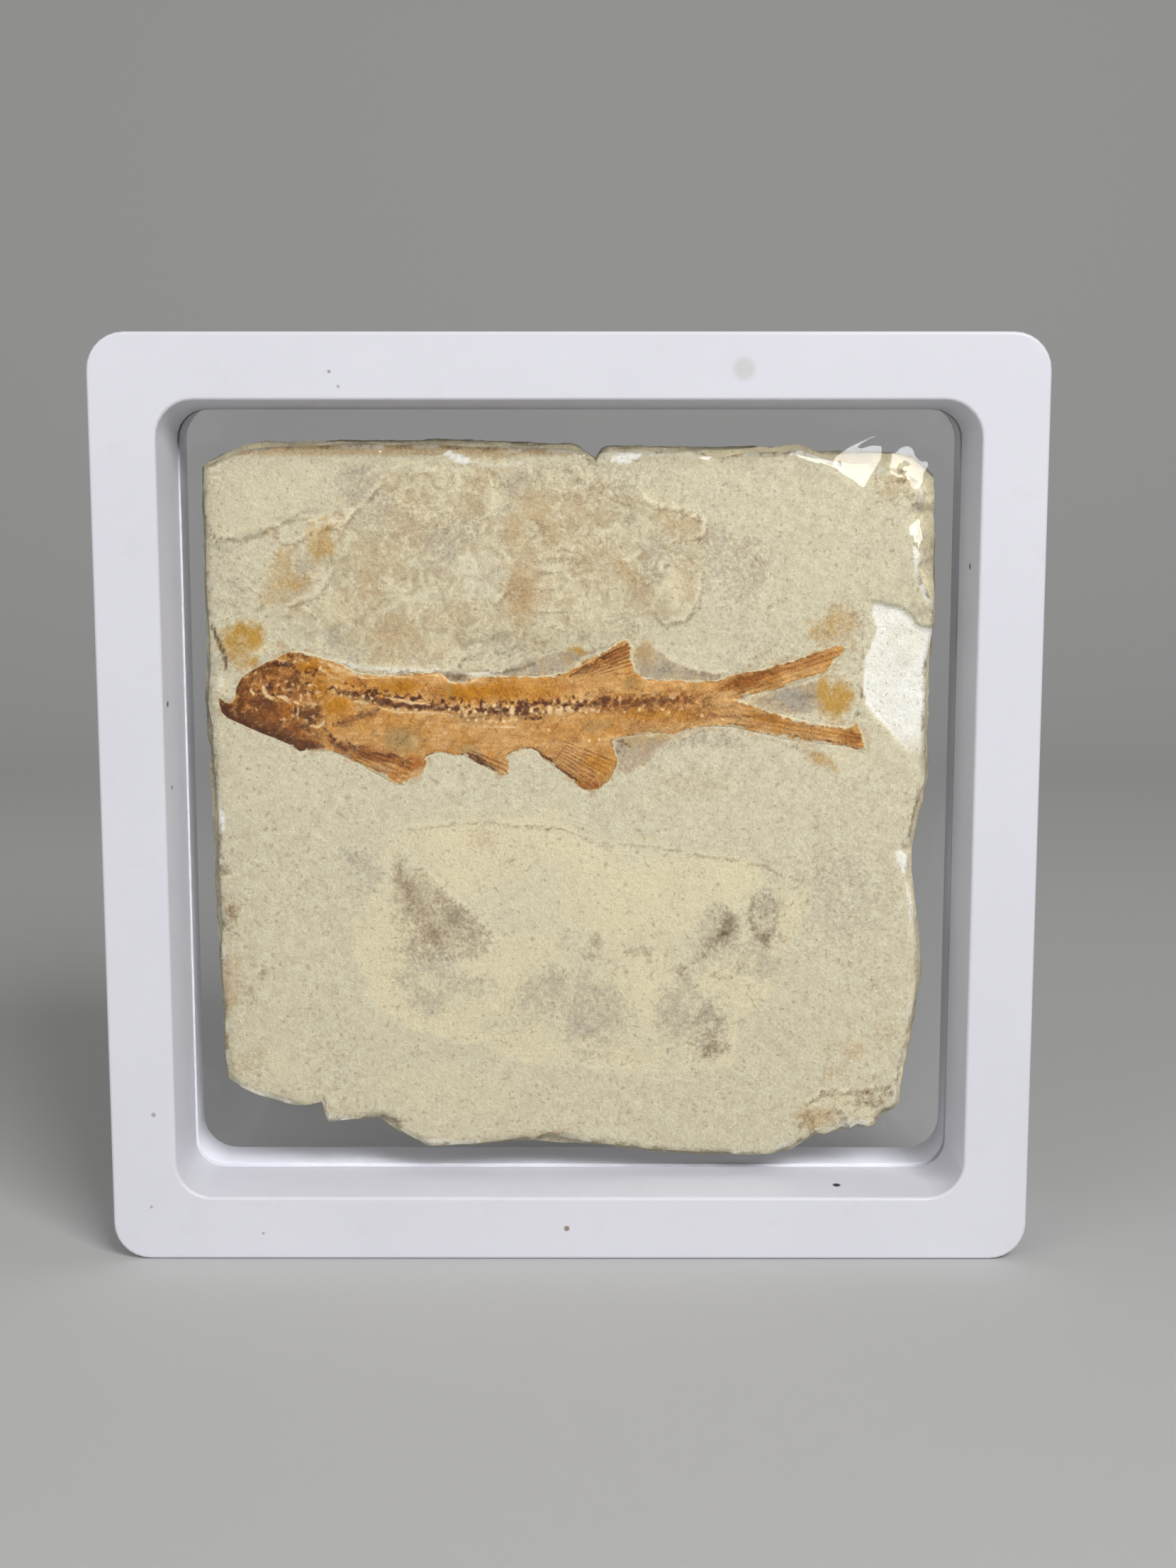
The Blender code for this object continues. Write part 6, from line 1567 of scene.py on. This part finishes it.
# %% Fish painting
def paint_fish(x, z):
    """How much of each pigment covers each place of the fish."""
    wx, wz = wander(x, z, 0.22, 0.9, 81)
    sx, sz = wander(x, z, 0.09, 0.45, 83)
    inside = depth_inside(x, z, FISH_OUTLINE)
    loose = np.clip(0.92 + 0.4 * cloud(x, z, 0.5, 85, 3), 0, 1.15)
    fray = 0.22 * cloud(x, z, 0.45, 84, 3)
    mottle = cloud(x, z, 1.3, 86, 4)
    off_spine = z - np.interp(x, [p[0] for p in BACKBONE], [p[1] for p in BACKBONE])
    beside_spine = ramp(np.abs(off_spine - 0.5), 1.5, 0.4) * ramp(x, -29.0, -26.0)
    chevrons = cloud(1.5 * x + 1.2 * np.abs(off_spine), 0.4 * off_spine, 0.8, 93, 3)
    threads = cloud(1.6 * x + 1.1 * np.abs(off_spine) + 0.5 * mottle, 0.5 * off_spine, 0.7, 99, 3)
    streaks = cloud(x, z * 5.0, 3.2, 87)
    splinters = cloud(x + 0.5 * z, z - 0.4 * x, 0.62, 97, 3)
    grains = cloud(x, z, 0.46, 98, 3)
    skull = ramp(x, -28.6, -30.2)
    jaw = skull * ramp(z + 0.42 * x, -4.9, -5.9)
    rays, spaces = fin_rays(x, z)
    plain = ramp(rays + spaces, 0.5, 0.0)
    worn = np.clip(0.75 + 0.5 * cloud(x, z, 1.2, 96, 3), 0.2, 1.0)
    worn *= 0.62 + 0.38 * ramp(x, 24.0, 16.0)
    brown = strongest(
        strokes(wx, wz, BROWN_STROKES, 0.9, fray),
        spots(wx, wz, BROWN_SPOTS, 0.8, fray),
        skull * (0.25 + 0.45 * ramp(mottle, -0.1, 0.8)),
        0.85 * skull * ramp(splinters, 0.15, 0.75),
        jaw * ramp(inside + 0.6 * mottle, 2.6, 1.0))
    brown = strongest(
        brown * loose,
        0.66 * ramp(rays, 0.45, 0.95) * worn,
        0.34 * ramp(chevrons, 0.1, 0.9),
        0.22 * ramp(threads, 0.1, 0.9) * plain,
        0.45 * ramp(streaks, 0.25, 0.9) * ramp(x, 1.0, 9.0),
        0.6 * ramp(inside, 0.5, 0.05) * ramp(mottle, -0.3, 0.4),
        0.75 * beside_spine * ramp(x, 22.0, 14.0) * ramp(grains, -0.2, 0.5))
    crumb = np.clip(0.80 + 0.9 * cloud(x, z, 0.34, 101, 2), 0.1, 1.15)
    dark = strongest(
        strokes(sx, sz, DARK_LINES, 0.8, fray),
        spots(sx, sz, DARK_BLOTS, 0.8, 1.6 * fray)) * loose * crumb
    dark = strongest(
        dark * (0.55 + 0.45 * ramp(x, 4.0, 0.0)),
        0.5 * ramp(cloud(x, z, 0.5, 89, 3), 0.5, 1.0) * skull,
        0.70 * jaw * ramp(inside + 0.5 * splinters, 0.9, 0.2),
        0.9 * beside_spine * ramp(x, 12.0, 0.0) * ramp(grains, 0.22, 0.55))
    pale = strongest(
        strokes(sx, sz, PALE_CURLS, 0.7, fray) * loose,
        spots(sx, sz, PALE_BEADS, 0.6, fray),
        0.55 * skull * (1 - jaw) * ramp(splinters, -0.45, -0.95),
        0.22 * ramp(chevrons, -0.3, -0.9),
        0.12 * ramp(threads, -0.3, -0.9) * plain,
        0.38 * ramp(spaces, 0.55, 0.95) * worn,
        0.6 * beside_spine * ramp(grains, -0.35, -0.8) * ramp(x, -20.0, -12.0))
    rust = strongest(
        spots(wx, wz, RUST_SPOTS, 0.8, fray),
        0.35 * ramp(streaks, 0.1, 0.8))
    gold = strongest(
        spots(wx, wz, GOLD_SPOTS, 0.8, fray),
        0.5 * ramp(cloud(x, z, 2.4, 88), 0.0, 0.6),
        0.7 * skull * ramp(splinters, -0.05, -0.5))
    olive = spots(wx, wz, OLIVE_SPOTS, 0.8, fray)
    frayed = inside + 0.20 * cloud(x, z, 1.0, 94, 3) + 0.13 * cloud(x, z, 0.4, 95, 2)
    thin = 0.18 + 0.35 * spots(x, z, FEATHERED, 0.5) * np.clip(0.5 + cloud(x, z, 1.1, 90, 3), 0, 1)
    stone = 0.95 * ramp(frayed, thin, thin - 0.2) * ramp(x, -38.0, -31.0)
    return {"gold": gold, "rust": rust, "olive": olive, "brown": brown, "dark": dark,
            "pale": pale, "stone": stone}


for name, values in paint_fish(x, z).items():
    store(fish, name, values)
bpy.ops.object.shade_smooth_by_angle(angle=math.radians(FISH_SMOOTH))
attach(fish, "back_half")
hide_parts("fish")
count(fish)

# %% [markdown]
# Bone is layered like the stone. Its base has streaks that run along the body, with lighter
# and darker flakes on them.

# %% Bone material
bone, tree, shader = new_material("fossil_bone", 0.7)
shader.inputs["Specular IOR Level"].default_value = 0.12
place = add_node(tree, "TexCoord").outputs["Object"]
fine = grain(tree, place, 0.00022, 3.0, 0.7)
coarse = grain(tree, place, 0.0009, 4.0, 0.62)
flakes = grain(tree, place, 0.00048, 3.0, 0.65)
threshold = stretch(tree, fine, 0.33, 0.67)
long_way = add_node(tree, "Mapping", {"vector_type": 'POINT'}, Vector=place,
                    Rotation=(0, math.radians(-4), 0), Scale=(1.0, 1.0, 4.0))
streak = grain(tree, long_way.outputs[0], 0.0018, 4.0, 0.65)
streaky = stretch(tree, streak, 0.38, 0.62)
base = mix_colour(tree, streaky, pigment(194, 143, 80), pigment(215, 169, 107))
light = stretch(tree, flakes, 0.60, 0.74, 0.0, 0.7)
base = mix_colour(tree, light, base, pigment(224, 180, 124))
deep = stretch(tree, flakes, 0.40, 0.28, 0.0, 0.6)
base = mix_colour(tree, deep, base, pigment(156, 100, 48))
colour = layered_colour(tree, base, [
    ("gold", pigment(186, 124, 10), 0.5), ("rust", pigment(158, 92, 32), 0.5),
    ("olive", pigment(158, 132, 84), 0.5), ("brown", pigment(108, 64, 8), 0.5),
    ("dark", pigment(86, 46, 2), 0.4), ("pale", pigment(228, 195, 144), 0.4),
    ("stone", pigment(206, 194, 160), 0.8)], threshold)
tint(tree, shader, colour, stretch(tree, coarse, 0.3, 0.7, 0.82, 1.16),
     stretch(tree, fine, 0.3, 0.7, 0.84, 1.14))
roughen(tree, shader, math_node(tree, 'MULTIPLY_ADD', coarse, 0.6, fine), 0.7, 0.00011)
fish.data.materials.clear()
fish.data.materials.append(bone)
print("the bone has", len(tree.nodes), "nodes")

# %% [markdown]
# The films are thin elastic sheets. Each is clamped under the rim of its frame half and
# pulled tight over the stone, so away from the stone its surface is a soap-film shape: every
# point lies at the mean height of its neighbours. Solving that with the stone as an obstacle
# gives the taut slopes round the slab. Cloth simulation could do it too, but it would need
# many more steps to get as tight. The solving starts coarse and is refined three times. The
# film keeps a small gap over the stone. A small inset within the outline it lies on the face,
# and nearer to the edge it rests on the lower core.

# %% Stretching a film
FILM_CELLS = 216
FILM_HALF = 47.8
FILM_CORNER = 5.0
SEAT_HALF = 46.3
SEAT_CORNER = 3.4
FILM_REST = 0.22
FILM_THICK = 0.12
FILM_SMOOTH = 60
SKIPS = (8, 4, 2, 1)
ROUNDS = 400
FACE_GAP = 0.10
BACK_FILM_GAP = 0.30
FACE_INSET = 0.25
BACK_INSET = 1.0
FRONT_CORE_OUT = 2.05
BACK_CORE_OUT = 2.0
FILM_BLEND = 0.3
OBSTACLE_BLEND = 1.5


def rounded_plan(right, up):
    """Turn a unit square into the film's rounded square, ring by ring."""
    x = (2 * right - 1) * FILM_HALF
    z = (2 * up - 1) * FILM_HALF
    length = np.maximum(np.hypot(x, z), 1e-9)
    dx = np.abs(x) / length
    dz = np.abs(z) / length
    to_square = FILM_HALF / np.maximum(np.maximum(dx, dz), 1e-9)
    inset = FILM_HALF - FILM_CORNER
    across = (dx + dz) * inset
    room = np.maximum(across ** 2 - 2 * inset ** 2 + FILM_CORNER ** 2, 0)
    to_round = across + np.sqrt(room)
    on_corner = np.minimum(dx, dz) * to_square > inset
    share = np.where(on_corner, to_round / to_square, 1.0)
    return x * share, z * share


def under_rim(x, z):
    """Whether a place is outside the seat, where the frame clamps the film."""
    beyond_x = np.maximum(np.abs(x) - (SEAT_HALF - SEAT_CORNER), 0)
    beyond_z = np.maximum(np.abs(z) - (SEAT_HALF - SEAT_CORNER), 0)
    return np.hypot(beyond_x, beyond_z) > SEAT_CORNER


def pull_tight(obstacle, clamped):
    """The height of a tight film over an obstacle, both as square arrays."""
    height = None
    for skip in SKIPS:
        stone = obstacle[::skip, ::skip]
        held = clamped[::skip, ::skip]
        if height is None:
            height = np.full(stone.shape, FILM_REST)
        else:
            wide = np.repeat((height[:, 1:] + height[:, :-1]) / 2, 2, axis=1)
            rows = np.zeros((height.shape[0], stone.shape[1]))
            rows[:, ::2] = height
            rows[:, 1::2] = wide[:, ::2]
            height = np.zeros(stone.shape)
            height[::2] = rows
            height[1::2] = (rows[1:] + rows[:-1]) / 2
        for _ in range(ROUNDS):
            mean = height.copy()
            mean[1:-1, 1:-1] = (height[2:, 1:-1] + height[:-2, 1:-1] + height[1:-1, 2:]
                                + height[1:-1, :-2]) / 4
            height = np.where(held, FILM_REST, np.maximum(mean, stone))
    return height


def lay_film(name, stone_height, side):
    """A film over a stone surface; side is -1 towards the viewer and +1 behind."""
    film = flat_grid(name, FILM_CELLS, FILM_CELLS)
    right, up = grid_shares(film)
    x, z = rounded_plan(right, up)
    row = np.rint(up * FILM_CELLS).astype(int)
    column = np.rint(right * FILM_CELLS).astype(int)
    size = FILM_CELLS + 1
    obstacle = np.zeros((size, size))
    clamped = np.zeros((size, size), bool)
    obstacle[row, column] = stone_height(x, z)
    clamped[row, column] = under_rim(x, z)
    height = pull_tight(obstacle, clamped)[row, column]
    if side < 0:
        height = facet_surface(x, z, height, FILM_BLEND)
    write_points(film, x, z, -side * height)
    only(film)
    shell = film.modifiers.new("film_thickness", 'SOLIDIFY')
    shell.thickness = FILM_THICK * MM
    shell.offset = 0.0
    bpy.ops.object.modifier_apply(modifier=shell.name)
    bpy.ops.object.mode_set(mode='EDIT')
    bpy.ops.mesh.select_all(action='SELECT')
    bpy.ops.mesh.normals_make_consistent(inside=False)
    bpy.ops.object.mode_set(mode='OBJECT')
    bpy.ops.object.shade_smooth_by_angle(angle=math.radians(FILM_SMOOTH))
    film.visible_shadow = False
    count(film)
    return film


def front_stone(x, z):
    """The height of stone and fish under the front film."""
    face = FACE_OUT + face_height(x, z)
    bones = FACE_OUT + fish_height(x, z)
    face = np.where(depth_inside(x, z, FISH_OUTLINE) > 0, np.maximum(face, bones), face)
    on_core = np.where(depth_inside(x, z, CORE_OUTLINE) > 0, FRONT_CORE_OUT, 0.0)
    on_core = facet_surface(x, z, on_core, OBSTACLE_BLEND, FILM_CLEARANCE)
    return np.where(depth_inside(x, z, FACE_OUTLINE) > FACE_INSET, face + FACE_GAP, on_core)


def back_stone(x, z):
    """The height of the slab's back under the rear film."""
    inside = depth_inside(x, z, CORE_OUTLINE)
    on_core = np.where(inside > 0, BACK_CORE_OUT, 0.0)
    return np.where(inside > BACK_INSET, -BACK_OUT + BACK_FILM_GAP, on_core)


front_film = lay_film("front_stretch_film", front_stone, -1)
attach(front_film, "front_half")
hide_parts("front_film")
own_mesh(front_film)
back_film = lay_film("back_stretch_film", back_stone, 1)
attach(back_film, "back_half")
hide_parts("back_film")

# %% [markdown]
# Clear film is plain transmission. Its index of refraction is a little lower than a real
# film's, so that the pale studio's reflection lays no veil over the dark bones. A trace of
# uneven roughness stands for handling marks, and a very faint wave keeps its reflections from
# looking like glass. The lamps shine straight through it, because film this thin throws no
# shadow that one would see.

# %% Clear film
clear, tree, shader = new_material("clear_film", 0.03, IOR=1.30, Transmission_Weight=1.0)
shader.inputs["Base Color"].default_value = (0.97, 0.975, 0.98, 1)
place = add_node(tree, "TexCoord").outputs["Object"]
smudge = grain(tree, place, 0.009, 3.0)
haze = stretch(tree, smudge, 0.35, 0.75, 0.01, 0.06)
tree.links.new(haze, shader.inputs["Roughness"])
roughen(tree, shader, grain(tree, place, 0.004, 2.0), 0.25, 0.00003)
for film in (front_film, back_film):
    film.data.materials.clear()
    film.data.materials.append(clear)
print("the film has", len(tree.nodes), "nodes")
